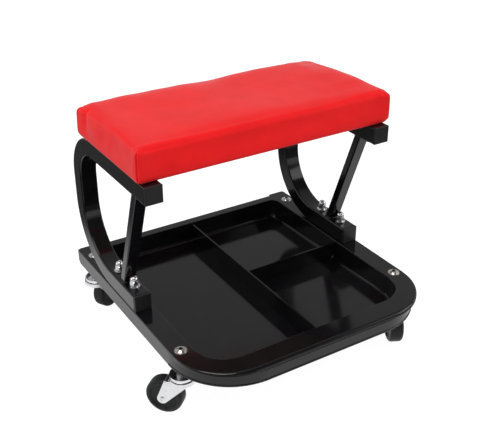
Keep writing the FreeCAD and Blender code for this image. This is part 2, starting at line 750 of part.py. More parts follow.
def make_seat():
    rear = seat_front + seat_depth
    half = seat_width / 2
    inside = cushion_body(cover_thickness)
    window = prism(rounded_rectangle(
        -half + cover_turn_in, half - cover_turn_in, seat_front + cover_turn_in, rear - cover_turn_in,
        seat_corner, seat_corner, seat_bottom - overrun), overrun + cover_thickness + snug_gap)
    holes = bolt_holes(seat_bolt_places(), bolt_hole_radius, seat_bottom - overrun,
                       board_bottom + snug_gap)
    save("seat_cover", cushion_body(0).cut([inside, window] + holes))
    board = prism(rounded_rectangle(
        -half + board_edge, half - board_edge, seat_front + board_edge, rear - board_edge,
        board_corner, board_corner, board_bottom), board_thickness)
    foam = inside.cut(board)
    save("seat_foam", foam)
    seats = bolt_holes(seat_bolt_places(), tee_nut_barrel_radius + snug_gap, board_bottom - overrun,
                       board_top + overrun)
    seats += bolt_holes(seat_bolt_places(), tee_nut_radius + snug_gap, board_top - tee_nut_flange,
                        board_top + overrun)
    save("seat_board", board.cut(seats))


def make_seat_fasteners():
    places = seat_bolt_places()
    washer_under = upper_leg_under - seat_washer_thickness
    bolt_end = board_top - tee_nut_flange
    save("seat_bolts", at_places(
        bolt_with_head(washer_under, bolt_end, bolt_head_flats, bolt_head_height, bolt_radius), places))
    save("seat_washers", at_places(
        ring(bolt_hole_radius, seat_washer_radius, washer_under, upper_leg_under), places))
    flange = ring(bolt_radius + snug_gap, tee_nut_radius, board_top - tee_nut_flange, board_top)
    barrel = ring(bolt_radius + snug_gap, tee_nut_barrel_radius,
                  board_top - tee_nut_flange - tee_nut_barrel, board_top - tee_nut_flange)
    save("seat_tee_nuts", at_places(flange.fuse(barrel).removeSplitter(), places))
    span = tray_width - 2 * tube - 2 * staple_crown
    pitch = span / (staples_per_row - 1)
    staples = []
    for y in (seat_front + staple_from_edge, seat_front + seat_depth - staple_from_edge):
        for index in range(staples_per_row):
            x = -span / 2 + pitch * index
            staples.append(box_between(x - staple_crown / 2, x + staple_crown / 2, y - staple_width / 2,
                                       y + staple_width / 2, seat_bottom - staple_thickness, seat_bottom))
    save("seat_staples", staples)


def tangent_point(point, centre, radius, side):
    """Where a straight line from point touches a circle, on the given side."""
    away = math.hypot(point[0] - centre[0], point[1] - centre[1])
    toward = math.atan2(point[1] - centre[1], point[0] - centre[0])
    turn = toward + side * math.acos(radius / away)
    return centre[0] + radius * math.cos(turn), centre[1] + radius * math.sin(turn)


def make_fork():
    """Pressed fork with its trail along +x: ring, top plate and two tapered legs."""
    half = fork_inner_width / 2 + fork_sheet
    plate = Part.makeCylinder(fork_ring_radius, fork_sheet, V(0, 0, fork_plate_under))
    plate = plate.fuse(box_between(0, fork_plate_rear, -half, half, fork_plate_under, fork_plate_top))
    ring_wall = ring(fork_ring_radius - fork_ring_wall, fork_ring_radius, fork_plate_top,
                     fork_plate_top + fork_ring_height)
    axle = (caster_trail, wheel_radius)
    front_top = (-fork_leg_front, fork_plate_under)
    rear_top = (fork_plate_rear, fork_plate_under)
    front_low = tangent_point(front_top, axle, fork_leg_round, 1)
    rear_low = tangent_point(rear_top, axle, fork_leg_round, -1)
    front_turn = math.atan2(front_low[1] - axle[1], front_low[0] - axle[0]) % (2 * math.pi)
    rear_turn = math.atan2(rear_low[1] - axle[1], rear_low[0] - axle[0]) + 2 * math.pi
    middle_turn = (front_turn + rear_turn) / 2
    low_middle = V(axle[0] + fork_leg_round * math.cos(middle_turn), 0,
                   axle[1] + fork_leg_round * math.sin(middle_turn))
    flat = [V(x, 0, z) for x, z in (front_top, front_low, rear_low, rear_top)]
    outline = Part.Wire([Part.makeLine(flat[0], flat[1]), Part.Arc(flat[1], low_middle, flat[2]).toShape(),
                         Part.makeLine(flat[2], flat[3]), Part.makeLine(flat[3], flat[0])])
    leg = Part.Face(outline).extrude(V(0, fork_sheet, 0))
    legs = [leg.translated(V(0, fork_inner_width / 2, 0)), leg.translated(V(0, -half, 0))]
    body = plate.fuse([ring_wall] + legs).removeSplitter()
    bends = [e for e in body.Edges if abs(e.BoundBox.ZMin - fork_plate_top) < snug_gap
             and abs(e.BoundBox.ZMax - fork_plate_top) < snug_gap
             and min(abs(e.BoundBox.YMin), abs(e.BoundBox.YMax)) > half - snug_gap
             and e.BoundBox.XMax > fork_plate_rear - snug_gap]
    body = body.makeFillet(fork_bend_round, bends)
    king_hole = vertical_hole(0, 0, king_hole_radius, fork_plate_under - overrun, fork_plate_top + overrun)
    axle_hole = Part.makeCylinder(axle_radius + snug_gap, 2 * half + 2 * overrun,
                                  V(caster_trail, -half - overrun, wheel_radius), V(0, 1, 0))
    return body.cut([king_hole, axle_hole])


def lay_on_axle(shape):
    """Turn a piece made about z so that it lies along the caster's axle."""
    laid = shape.copy()
    laid.rotate(V(0, 0, 0), V(1, 0, 0), 90)
    laid.translate(V(caster_trail, 0, wheel_radius))
    return laid


def make_wheel():
    """Solid wheel with a rounded tread, a recess on each side and a bore for the bushing."""
    half = wheel_width / 2
    web = wheel_web_width / 2
    hub = wheel_hub_width / 2
    bore = bushing_radius + running_gap
    turn = tread_round * (1 - math.sqrt(0.5))
    edges = []
    recess_inner = wheel_hub_radius + wheel_recess_slope
    recess_outer = wheel_rim_radius - wheel_recess_slope
    outline = [V(bore, 0, -hub), V(wheel_hub_radius, 0, -hub), V(recess_inner, 0, -web),
               V(recess_outer, 0, -web), V(wheel_rim_radius, 0, -half),
               V(wheel_radius - tread_round, 0, -half)]
    for start, end in zip(outline, outline[1:]):
        edges.append(Part.makeLine(start, end))
    lower_end = V(wheel_radius, 0, -half + tread_round)
    upper_start = V(wheel_radius, 0, half - tread_round)
    edges.append(Part.Arc(outline[-1], V(wheel_radius - turn, 0, -half + turn), lower_end).toShape())
    edges.append(Part.makeLine(lower_end, upper_start))
    mirrored = [V(p.x, 0, -p.z) for p in reversed(outline)]
    edges.append(Part.Arc(upper_start, V(wheel_radius - turn, 0, half - turn), mirrored[0]).toShape())
    for start, end in zip(mirrored, mirrored[1:]):
        edges.append(Part.makeLine(start, end))
    edges.append(Part.makeLine(mirrored[-1], outline[0]))
    wheel = Part.Face(Part.Wire(edges)).revolve(V(0, 0, 0), V(0, 0, 1), 360)
    return lay_on_axle(wheel)


def make_axle():
    """Riveted axle: a shank with a low dome at each end, hollow at its middle."""
    half = fork_inner_width / 2 + fork_sheet
    shank = Part.makeCylinder(axle_radius, 2 * half, V(0, 0, -half))
    dome_radius = (axle_head_radius ** 2 + axle_head_height ** 2) / (2 * axle_head_height)
    heads = []
    for side in (-1, 1):
        ball = Part.makeSphere(dome_radius, V(0, 0, side * (half + axle_head_height - dome_radius)))
        low, high = sorted((side * half, side * (half + axle_head_height)))
        head = ball.common(Part.makeCylinder(axle_head_radius, high - low, V(0, 0, low)))
        dimple_low, dimple_high = sorted((side * (half + axle_head_height - axle_dimple_depth),
                                          side * (half + axle_head_height + overrun)))
        dimple = Part.makeCylinder(axle_dimple_radius, dimple_high - dimple_low, V(0, 0, dimple_low))
        heads.append(head.cut(dimple))
    return lay_on_axle(shank.fuse(heads).removeSplitter())


def make_bushing():
    half = fork_inner_width / 2 - snug_gap
    return lay_on_axle(ring(axle_radius + snug_gap, bushing_radius, -half, half))


def make_balls():
    balls = []
    z = (fork_plate_top + race_bottom) / 2
    for index in range(ball_count):
        turn = 2 * math.pi * index / ball_count
        place = V(ball_circle * math.cos(turn), ball_circle * math.sin(turn), z)
        balls.append(Part.makeSphere(ball_radius, place))
    return balls


def make_race_cup():
    """Pressed dish above the balls, open at its top."""
    outer = Part.makeCylinder(race_radius, race_height, V(0, 0, race_bottom))
    foot = [e for e in outer.Edges if abs(e.BoundBox.ZMax - race_bottom) < snug_gap]
    outer = outer.makeFillet(race_round, foot)
    dish = Part.makeCylinder(race_radius - race_wall, race_height, V(0, 0, race_floor_top))
    hole = vertical_hole(0, 0, king_hole_radius, race_bottom - overrun, race_top)
    return outer.cut([dish, hole])


def make_caster_bolt():
    """Flanged domed bolt with a hexagonal socket, down through tray, spacer, cup and fork."""
    flange_top = tray_height + caster_head_flange
    flange = Part.makeCylinder(caster_head_radius, caster_head_flange, V(0, 0, tray_height))
    rims = [e for e in flange.Edges if abs(e.BoundBox.ZMin - flange_top) < snug_gap]
    flange = flange.makeFillet(caster_head_flange / 2, rims)
    dome_radius = (caster_head_dome_radius ** 2 + caster_head_dome ** 2) / (2 * caster_head_dome)
    ball = Part.makeSphere(dome_radius, V(0, 0, flange_top + caster_head_dome - dome_radius))
    dome = ball.common(Part.makeCylinder(caster_head_radius, caster_head_dome, V(0, 0, flange_top)))
    corner = caster_socket_flats / 2 / math.cos(math.pi / 6)
    socket_z = flange_top + caster_head_dome - caster_socket_depth
    turns = [math.radians(60 * step) for step in range(6)]
    points = [V(corner * math.cos(t), corner * math.sin(t), socket_z) for t in turns]
    socket = Part.Face(Part.makePolygon(points + points[:1]))
    socket = socket.extrude(V(0, 0, caster_socket_depth + overrun))
    tail = fork_plate_under - lock_nut_stack
    shank = Part.makeCylinder(caster_bolt_radius, tray_height - tail, V(0, 0, tail))
    return flange.fuse([dome, shank]).removeSplitter().cut(socket)


def make_lock_nut():
    top = fork_plate_under - lock_nut_gap
    flange = Part.makeCylinder(lock_nut_flange_radius, lock_nut_flange, V(0, 0, top - lock_nut_flange))
    body = hexagon(lock_nut_flats, top - lock_nut_flange - lock_nut_height, lock_nut_height)
    bore = vertical_hole(0, 0, caster_bolt_radius + snug_gap, 0, top + overrun)
    return flange.fuse(body).cut(bore)


def make_casters():
    king_places = [(x, y) for x, y, swivel in casters.values()]
    save("caster_bolts", at_places(make_caster_bolt(), king_places))
    save("caster_spacers", at_places(
        ring(caster_bolt_hole_radius, spacer_radius, race_floor_top, web_under), king_places))
    save("caster_lock_nuts", at_places(make_lock_nut(), king_places))
    turning = {"fork": make_fork(), "axle": make_axle(), "bushing": make_bushing(), "wheel": make_wheel()}
    for name, (king_x, king_y, swivel) in casters.items():
        place = V(king_x, king_y, 0)
        save(name + "_race_cup", make_race_cup().translated(place))
        save(name + "_ball_ring", [ball.translated(place) for ball in make_balls()])
        for piece, shape in turning.items():
            turned = shape.copy()
            turned.rotate(V(0, 0, 0), V(0, 0, 1), swivel)
            save(name + "_" + piece, turned.translated(place))


def print_places():
    """Places that the record states, in the final frame."""
    for name, (king_x, king_y, swivel) in casters.items():
        turn = math.radians(swivel)
        king = V(king_x, king_y, 0) + origin_shift
        axle = king + V(caster_trail * math.cos(turn), caster_trail * math.sin(turn), wheel_radius)
        print(name, "king bolt", king, "axle", axle, "axle way", -math.sin(turn), math.cos(turn))
    print("shift", origin_shift, "basin floor", basin_floor, "rail bottom", rail_bottom)
    print("leg top", leg_top, "upper leg under", upper_leg_under, "seat bottom", seat_bottom)


os.makedirs("parts", exist_ok=True)
save("tray_pan", make_tray_pan())
save("left_side_rail", make_side_rail(-1))
save("right_side_rail", make_side_rail(1))
save("front_rail", make_front_rail())
save("long_divider", make_long_divider())
save("cross_divider", make_cross_divider())
save("left_bracket", make_bracket(-1))
save("right_bracket", make_bracket(1))
save("left_brace", make_brace(-1))
save("right_brace", make_brace(1))
save("tube_end_plugs", make_tube_plugs())
make_bracket_fasteners()
make_seat()
make_seat_fasteners()
make_casters()
print_places()
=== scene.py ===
"""Creeper seat: finishes, padded cushion, weld beads, caster wheels and the studio."""

import json
import math

import bmesh
import bpy
from bpy.props import FloatProperty, FloatVectorProperty, IntProperty, PointerProperty
from bpy.types import Operator, Panel, PropertyGroup
from mathutils import Matrix, Vector, noise


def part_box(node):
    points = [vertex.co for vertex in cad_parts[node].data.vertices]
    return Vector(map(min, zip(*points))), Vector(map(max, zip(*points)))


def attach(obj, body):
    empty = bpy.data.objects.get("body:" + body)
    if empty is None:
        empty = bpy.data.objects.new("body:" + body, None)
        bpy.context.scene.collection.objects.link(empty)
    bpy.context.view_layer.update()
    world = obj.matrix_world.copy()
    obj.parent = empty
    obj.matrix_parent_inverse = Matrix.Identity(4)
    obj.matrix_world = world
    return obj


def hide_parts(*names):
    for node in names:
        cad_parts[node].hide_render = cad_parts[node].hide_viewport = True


bl_info = {
    "name": "Creeper Seat Dresser",
    "version": (1, 0, 0),
    "blender": (4, 5, 0),
    "location": "View3D > Sidebar > Creeper Seat",
    "description": "Finishes, soft parts and studio for a rolling workshop seat with a tool tray",
    "category": "Object",
}

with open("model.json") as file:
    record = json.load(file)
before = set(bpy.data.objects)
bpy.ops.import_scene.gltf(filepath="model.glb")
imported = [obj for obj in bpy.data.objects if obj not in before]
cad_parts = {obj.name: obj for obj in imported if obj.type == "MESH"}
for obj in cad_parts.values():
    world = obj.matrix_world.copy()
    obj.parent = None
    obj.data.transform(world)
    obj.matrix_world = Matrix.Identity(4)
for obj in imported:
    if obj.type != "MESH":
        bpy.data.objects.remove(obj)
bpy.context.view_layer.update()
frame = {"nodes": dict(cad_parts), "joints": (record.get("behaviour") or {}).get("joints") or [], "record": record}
COVER_LOW, COVER_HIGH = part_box("seat_cover")
X, Y = 0, 1  # axes
TOUCHING = 0.0001  # heights closer than this count as one
# heights of the cushion's top above its foot: beside the rear edge by x, beside the right edge by y
REAR_RIM = ((-0.190, 0.0412), (-0.170, 0.0455), (-0.122, 0.0467), (-0.048, 0.0454), (0.004, 0.0438),
            (0.058, 0.0457), (0.100, 0.0460), (0.143, 0.0451), (0.173, 0.0430), (0.188, 0.0391))
RIGHT_RIM = ((-0.056, 0.0425), (-0.046, 0.0449), (-0.030, 0.0450), (0.006, 0.0459),
             (0.044, 0.0450), (0.083, 0.0426), (0.104, 0.0404), (0.122, 0.0385))
# beside those edges: distance of the line inside the cover, and fall of the sight lines over it
REAR_SIGHT = (0.008, 0.39)
RIGHT_SIGHT = (0.004, 0.53)


# ---------------------------------------------------------------- settings

def length(name, description, default):
    return FloatProperty(name=name, description=description, default=default, unit="LENGTH",
                         precision=5)


def colour(name, description, default):
    return FloatVectorProperty(name=name, description=description, default=default,
                               subtype="COLOR", size=3, min=0.0, max=1.0)


def share(name, description, default):
    return FloatProperty(name=name, description=description, default=default, min=0.0, max=1.0,
                         subtype="FACTOR")


class FinishSettings(PropertyGroup):
    """Colours and gloss of the seat's finishes."""

    paint: colour("Powder coat", "Gloss black of the steel", (0.0038, 0.0035, 0.0042))
    paint_thin: colour("Thin coat", "Powder coat where it lies thinner", (0.0064, 0.0058, 0.0068))
    plastic: colour("End plugs", "Moulded black plastic", (0.0105, 0.0095, 0.0105))
    zinc: colour("Zinc plate", "Fasteners on the brackets", (0.80, 0.80, 0.82))
    bright: colour("Bright zinc", "Caster forks and race cups", (0.86, 0.87, 0.90))
    nickel: colour("Nickel plate", "Caster bolts", (0.66, 0.62, 0.58))
    vinyl: colour("Vinyl", "Seat cover", (0.825, 0.0080, 0.0095))
    vinyl_deep: colour("Vinyl, deep", "Seat cover where the grain is darker", (0.74, 0.006, 0.008))
    # painted shade with some grime: the dark colour laid into the sockets of the caster bolts
    socket_shade_and_grime: colour("Grime", "Oil and dust in the sockets of the caster bolts", (0.020, 0.017, 0.016))
    rubber: colour("Wheel", "Solid charcoal wheels", (0.0070, 0.0073, 0.0082))
    plywood: colour("Plywood", "Seat board", (0.30, 0.19, 0.10))
    foam: colour("Foam", "Seat filling", (0.82, 0.76, 0.55))
    paint_roughness: share("Paint roughness", "Roughness of the powder coat", 0.11)
    vinyl_roughness: share("Vinyl roughness", "Roughness of the seat cover", 0.42)


class CushionSettings(PropertyGroup):
    """Sizes of the padded cushion."""

    voxel: length("Voxel", "Cell of the remesh before the cloth is simulated", 0.0040)
    shrink: length("Undersize", "How much smaller the pad starts than the cover", 0.0012)
    corner: length("Corner", "Radius of the four upright corners", 0.0075)
    top_roll: length("Top roll", "Radius of the roll round the top", 0.0065)
    bottom_roll: length("Bottom roll", "Radius of the roll round the bottom", 0.0040)
    corner_fill: length("Corner fill", "How far the corners are filled out", 0.0026)
    right_fill: length("Right fill", "How far the right side is filled out", 0.0026)
    crease: length("Crease", "Depth of the crease along the front roll", 0.0012)
    side_draw: length("Side draw", "How far the sides pull in between the corners", 0.0020)
    rear_draw: length("Rear draw", "How far the rear side pulls in", 0.0020)
    crown: length("Crown", "Rise of the middle of the top", 0.0020)
    travel: length("Travel", "Furthest that a point of the cloth may move", 0.0032)
    pressure: FloatProperty(name="Pressure", description="Pressure inside the cloth", default=4.0)
    frames: IntProperty(name="Frames", description="Length of the simulation", default=20)
    seam_depth: length("Seam depth", "Depth of the upright corner seams", 0.0020)
    seam_width: length("Seam width", "Half width of a corner seam", 0.0010)
    hem: length("Hem", "Width of the cover's turned-in edge underneath", 0.0260)
    hem_rise: length("Recess", "How far the middle of the underside stands back", 0.0030)


class WheelSettings(PropertyGroup):
    """Sizes of a caster wheel and of the weld beads."""

    tread_round: length("Tread round", "Radius of the tread's shoulders", 0.0045)
    rim: length("Rim", "Width of the flat rim beside the recess", 0.0015)
    recess: length("Recess", "Depth of the recess in each face", 0.0025)
    slope: length("Slope", "Run of the recess's wall", 0.0015)
    hub: length("Hub", "Radius of the hub", 0.0080)
    step: length("Step", "Height of the rings on the faces", 0.0004)
    flash: length("Parting line", "Height of the mould line round the tread", 0.00007)
    flash_width: length("Parting width", "Half width of the mould line", 0.0006)
    lift: length("Lift", "How far the tread stays above the floor", 0.00004)
    bead: length("Weld bead", "Radius of the weld beads", 0.0017)
    ripple: length("Weld ripple", "Height of the ripples on a bead", 0.0003)


class StageSettings(PropertyGroup):
    """Camera and light."""

    eye: FloatVectorProperty(name="Camera", description="Place of the camera",
                             subtype="TRANSLATION", default=(-0.564784, -0.904063, 0.75935),
                             unit="LENGTH")
    target: FloatVectorProperty(name="Target", description="Point that the camera looks at",
                                subtype="TRANSLATION", default=(0.002481, 0.000503, 0.1908),
                                unit="LENGTH")
    lens: FloatProperty(name="Lens", description="Focal length in millimetres", default=61.011)
    ambient: FloatProperty(name="Ambient", description="Light of the room", default=0.55)
    key: FloatProperty(name="Key", description="Power of the key light in watts", default=25.0)
    fill: FloatProperty(name="Fill", description="Power of the fill light in watts", default=9.0)
    side: FloatProperty(name="Side", description="Power of the side light in watts", default=5.0)
    floor_size: length("Floor", "Width of the floor", 12.0)


# ---------------------------------------------------------------- nodes

WHITE = (1.0, 1.0, 1.0, 1.0)
VALUE_A, VALUE_B = 2, 3  # sockets of a Mix node for values, then for colours
COLOUR_A, COLOUR_B, COLOUR_RESULT = 6, 7, 2


def set_inputs(tree, node, inputs):
    """Sets a node's inputs, or joins them to the outputs of other nodes."""
    for name, value in inputs.items():
        if isinstance(value, bpy.types.NodeSocket):
            tree.links.new(value, node.inputs[name])
        else:
            node.inputs[name].default_value = value


def add_node(tree, kind, inputs=None, **settings):
    """A node with its settings made and its inputs set or joined."""
    node = tree.nodes.new(kind)
    for name, value in settings.items():
        setattr(node, name, value)
    set_inputs(tree, node, inputs or {})
    return node


def maths(tree, operation, *values):
    """Result of a Math node."""
    return add_node(tree, "ShaderNodeMath", dict(enumerate(values)), operation=operation).outputs[0]


def vector_maths(tree, operation, *values):
    """Result of a Vector Math node: a number for LENGTH, else a vector."""
    node = add_node(tree, "ShaderNodeVectorMath", dict(enumerate(values)), operation=operation)
    return node.outputs["Value" if operation == "LENGTH" else "Vector"]


def eased(tree, value, start, end, first=0.0, last=1.0):
    """Runs smoothly from first to last while the value runs from start to end."""
    node = add_node(tree, "ShaderNodeMapRange", {
        "Value": value, "From Min": start, "From Max": end, "To Min": first, "To Max": last},
        interpolation_type="SMOOTHSTEP")
    return node.outputs["Result"]


def split(tree, vector):
    """The three numbers of a vector, as outputs."""
    return add_node(tree, "ShaderNodeSeparateXYZ", {"Vector": vector}).outputs


def new_group(name, inputs, outputs):
    """An empty node group with float or vector inputs, and its two ends."""
    group = bpy.data.node_groups.new(name, "ShaderNodeTree")
    for label, default in inputs:
        kind = "NodeSocketVector" if default is None else "NodeSocketFloat"
        socket = group.interface.new_socket(label, in_out="INPUT", socket_type=kind)
        if default is not None:
            socket.default_value = default
    for label in outputs:
        group.interface.new_socket(label, in_out="OUTPUT", socket_type="NodeSocketFloat")
    return group, group.nodes.new("NodeGroupInput"), group.nodes.new("NodeGroupOutput")


def patches_group():
    """Soft uneven patches, as a value between Low and High."""
    name = "Soft Patches"
    if name in bpy.data.node_groups:
        return bpy.data.node_groups[name]
    group, given, result = new_group(
        name, [("Vector", None), ("Scale", 10.0), ("Low", 0.0), ("High", 1.0)], ["Value"])
    spots = add_node(group, "ShaderNodeTexNoise", {
        "Vector": given.outputs["Vector"], "Scale": given.outputs["Scale"], "Detail": 4.0,
        "Roughness": 0.6, "Distortion": 0.3})
    spread = add_node(group, "ShaderNodeMapRange", {
        "Value": spots.outputs["Fac"], "From Min": 0.34, "From Max": 0.68,
        "To Min": given.outputs["Low"], "To Max": given.outputs["High"]})
    group.links.new(spread.outputs["Result"], result.inputs["Value"])
    return group


def grain_group():
    """Pebbled grain of cells with creases between them."""
    name = "Pebble Grain"
    if name in bpy.data.node_groups:
        return bpy.data.node_groups[name]
    group, given, result = new_group(name, [("Vector", None), ("Scale", 900.0)], ["Height"])
    cells = add_node(group, "ShaderNodeTexVoronoi", {
        "Vector": given.outputs["Vector"], "Scale": given.outputs["Scale"]},
        feature="SMOOTH_F1")
    fine = add_node(group, "ShaderNodeTexNoise", {
        "Vector": given.outputs["Vector"], "Scale": 1700.0, "Detail": 2.0})
    dome = maths(group, "SUBTRACT", 1.0, cells.outputs["Distance"])
    both = maths(group, "MULTIPLY_ADD", fine.outputs["Fac"], 0.35, dome)
    group.links.new(both, result.inputs["Height"])
    return group


def peel_group():
    """The slight waviness of sprayed or plated metal."""
    name = "Orange Peel"
    if name in bpy.data.node_groups:
        return bpy.data.node_groups[name]
    group, given, result = new_group(name, [("Vector", None), ("Scale", 300.0)], ["Height"])
    waves = add_node(group, "ShaderNodeTexNoise", {
        "Vector": given.outputs["Vector"], "Scale": given.outputs["Scale"], "Detail": 1.5,
        "Roughness": 0.4})
    group.links.new(waves.outputs["Fac"], result.inputs["Height"])
    return group


def pattern(tree, group, where, scale, **inputs):
    """Output of a pattern's node group."""
    return add_node(tree, "ShaderNodeGroup", {"Vector": where, "Scale": scale, **inputs},
                    node_tree=group).outputs[0]


def patches(tree, where, scale, low=0.0, high=1.0):
    """Soft patches between two values."""
    return pattern(tree, patches_group(), where, scale, Low=low, High=high)


def start_material(name):
    """A new material with only a Principled BSDF, its output and object coordinates."""
    made = bpy.data.materials.new(name)
    made.use_nodes = True
    tree = made.node_tree
    tree.nodes.clear()
    shader = tree.nodes.new("ShaderNodeBsdfPrincipled")
    output = tree.nodes.new("ShaderNodeOutputMaterial")
    tree.links.new(shader.outputs["BSDF"], output.inputs["Surface"])
    where = tree.nodes.new("ShaderNodeTexCoord").outputs["Object"]
    return made, tree, shader, where


def mix_colours(tree, mask, first, second):
    """Colour between two by a mask."""
    mix = add_node(tree, "ShaderNodeMix", {
        "Factor": mask, COLOUR_A: (*first, 1.0), COLOUR_B: (*second, 1.0)}, data_type="RGBA")
    return mix.outputs[COLOUR_RESULT]


def bump(tree, height, strength, distance):
    """Normals roughened by a pattern's height."""
    node = add_node(tree, "ShaderNodeBump", {
        "Height": height, "Strength": strength, "Distance": distance})
    return node.outputs["Normal"]


# ---------------------------------------------------------------- finishes

SOCKET_RADIUS = 0.0031
SOCKET_EDGE = 0.0005  # depth below the top of the bolt's head at which the painted shade and grime begin


def paint_finish(settings):
    """Gloss black powder coat: orange peel, wiped patches and slightly thin spots."""
    made, tree, shader, where = start_material("black_powder_coat")
    gloss = patches(tree, where, scale=14.0, low=settings.paint_roughness * 0.8,
                    high=settings.paint_roughness * 1.35)
    thin = patches(tree, where, scale=45.0)
    peel = pattern(tree, peel_group(), where, scale=420.0)
    set_inputs(tree, shader, {
        "Base Color": mix_colours(tree, thin, settings.paint, settings.paint_thin),
        "Roughness": gloss, "Specular IOR Level": 0.42,
        "Normal": bump(tree, peel, strength=0.05, distance=0.0002)})
    return made


def plastic_finish(settings):
    """Moulded black plastic with a fine eroded grain."""
    made, tree, shader, where = start_material("moulded_black_plastic")
    gloss = patches(tree, where, scale=60.0, low=0.42, high=0.56)
    grain = pattern(tree, grain_group(), where, scale=1600.0)
    set_inputs(tree, shader, {
        "Base Color": mix_colours(tree, gloss, settings.plastic, settings.paint_thin),
        "Roughness": gloss, "Normal": bump(tree, grain, strength=0.25, distance=0.00008)})
    return made


def socket_shade_mask(tree, where):
    """Mask of the painted shade, with some grime: 1 inside the sockets of the four caster bolts."""
    first = sum(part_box("front_left_race_cup"), Vector()) / 2
    last = sum(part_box("rear_right_race_cup"), Vector()) / 2
    middle, half = (first + last) / 2, (last - first) / 2
    folded = vector_maths(tree, "ABSOLUTE", vector_maths(tree, "SUBTRACT", where, middle))
    away = vector_maths(tree, "SUBTRACT", folded, half)
    flat = vector_maths(tree, "MULTIPLY", away, (1.0, 1.0, 0.0))
    inside = maths(tree, "LESS_THAN", vector_maths(tree, "LENGTH", flat), SOCKET_RADIUS)
    low = maths(tree, "LESS_THAN", split(tree, where)["Z"],
                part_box("caster_bolts")[1].z - SOCKET_EDGE)
    return maths(tree, "MULTIPLY", inside, low)


def bolt_finish(settings):
    """Nickel-plated caster bolts with painted shade and some grime down in their sockets."""
    made = plated_finish("nickel_plated_steel", settings.nickel, low=0.14, high=0.28, scale=90.0)
    tree = made.node_tree
    shader = tree.nodes["Principled BSDF"]
    # painted shade with some grime: inside the sockets the colour turns dark and the metal is taken away
    mask = socket_shade_mask(tree, tree.nodes["Texture Coordinate"].outputs["Object"])
    unshaded_colour = shader.inputs["Base Color"].links[0].from_socket
    tint = add_node(tree, "ShaderNodeMix", {
        "Factor": mask, COLOUR_A: unshaded_colour, COLOUR_B: (*settings.socket_shade_and_grime, 1.0)}, data_type="RGBA")
    set_inputs(tree, shader, {
        "Base Color": tint.outputs[COLOUR_RESULT], "Metallic": maths(tree, "SUBTRACT", 1.0, mask)})
    return made


def plated_finish(name, tint, low, high, scale, waves=0.10):
    """Plated steel: metal with uneven gloss and faint waviness from the rolled sheet."""
    made, tree, shader, where = start_material(name)
    gloss = patches(tree, where, scale, low, high)
    stains = patches(tree, where, scale * 2.7)
    peel = pattern(tree, peel_group(), where, scale=700.0)
    dull = tuple(value * 0.92 for value in tint)
    set_inputs(tree, shader, {
        "Base Color": mix_colours(tree, stains, tint, dull), "Roughness": gloss, "Metallic": 1.0,
        "Normal": bump(tree, peel, strength=waves, distance=0.00012)})
    return made


def vinyl_finish(settings):
    """Soft-gloss red vinyl with a fine pebbled grain and a light sheen."""
    made, tree, shader, where = start_material("red_vinyl_cover")
    deep = patches(tree, where, scale=26.0, high=0.8)
    gloss = patches(tree, where, scale=18.0, low=settings.vinyl_roughness * 0.9,
                    high=settings.vinyl_roughness * 1.15)
    grain = pattern(tree, grain_group(), where, scale=1050.0)
    set_inputs(tree, shader, {
        "Base Color": mix_colours(tree, deep, settings.vinyl, settings.vinyl_deep),
        "Roughness": gloss, "Specular IOR Level": 0.11, "Sheen Weight": 0.13,
        "Sheen Roughness": 0.45,
        "Normal": bump(tree, grain, strength=0.22, distance=0.00010)})
    return made


def rubber_finish(settings):
    """Solid charcoal wheel: satin, with floor dust worked into the tread."""
    made, tree, shader, where = start_material("charcoal_wheel_rubber")
    dust = patches(tree, where, scale=130.0, high=0.35)
    gloss = patches(tree, where, scale=60.0, low=0.42, high=0.58)
    grain = pattern(tree, grain_group(), where, scale=1500.0)
    dusty = tuple(value * 2.4 for value in settings.rubber)
    set_inputs(tree, shader, {
        "Base Color": mix_colours(tree, dust, settings.rubber, dusty),
        "Roughness": gloss, "Specular IOR Level": 0.30,
        "Normal": bump(tree, grain, strength=0.2, distance=0.00008)})
    return made


def plywood_finish(settings):
    """Raw plywood: stretched grain on the faces."""
    made, tree, shader, where = start_material("raw_plywood")
    stretch = add_node(tree, "ShaderNodeMapping", {"Vector": where, "Scale": (0.08, 1.0, 0.6)})
    fibre = add_node(tree, "ShaderNodeTexNoise", {
        "Vector": stretch.outputs["Vector"], "Scale": 260.0, "Detail": 6.0, "Distortion": 0.8})
    pale = patches(tree, stretch.outputs["Vector"], scale=70.0)
    brown = tuple(value * 0.62 for value in settings.plywood)
    set_inputs(tree, shader, {
        "Base Color": mix_colours(tree, pale, settings.plywood, brown), "Roughness": 0.75,
        "Normal": bump(tree, fibre.outputs["Fac"], strength=0.4, distance=0.0002)})
    return made


def foam_finish(settings):
    """Open-cell foam."""
    made, tree, shader, where = start_material("open_cell_foam")
    cells = pattern(tree, grain_group(), where, scale=800.0)
    stains = patches(tree, where, scale=30.0)
    worn = tuple(value * 0.9 for value in settings.foam)
    set_inputs(tree, shader, {
        "Base Color": mix_colours(tree, stains, settings.foam, worn), "Roughness": 0.95,
        "Normal": bump(tree, cells, strength=0.6, distance=0.0005)})
    return made


def build_finishes(settings):
    """One material for each of the record's slots."""
    return {
        "black_paint": paint_finish(settings),
        "black_plastic": plastic_finish(settings),
        "zinc": plated_finish("zinc_plated_steel", settings.zinc, low=0.16, high=0.30, scale=90.0),
        "chrome": plated_finish("bright_zinc_sheet", settings.bright, low=0.27, high=0.34,
                                scale=40.0, waves=0.02),
        "nickel": bolt_finish(settings),
        "red_vinyl": vinyl_finish(settings),
        "foam": foam_finish(settings),
        "plywood": plywood_finish(settings),
        "wheel_rubber": rubber_finish(settings),
    }


FINISHES = {}


# ---------------------------------------------------------------- modelling helpers

def deselect_all():
    if bpy.context.mode != "OBJECT":
        bpy.ops.object.mode_set(mode="OBJECT")
    bpy.ops.object.select_all(action="DESELECT")


def make_active(piece):
    deselect_all()
    piece.select_set(True)
    bpy.context.view_layer.objects.active = piece


def named(name):
    """The piece that the last operator added, with its name."""
    piece = bpy.context.active_object
    piece.name = name
    piece.data.name = name
    return piece


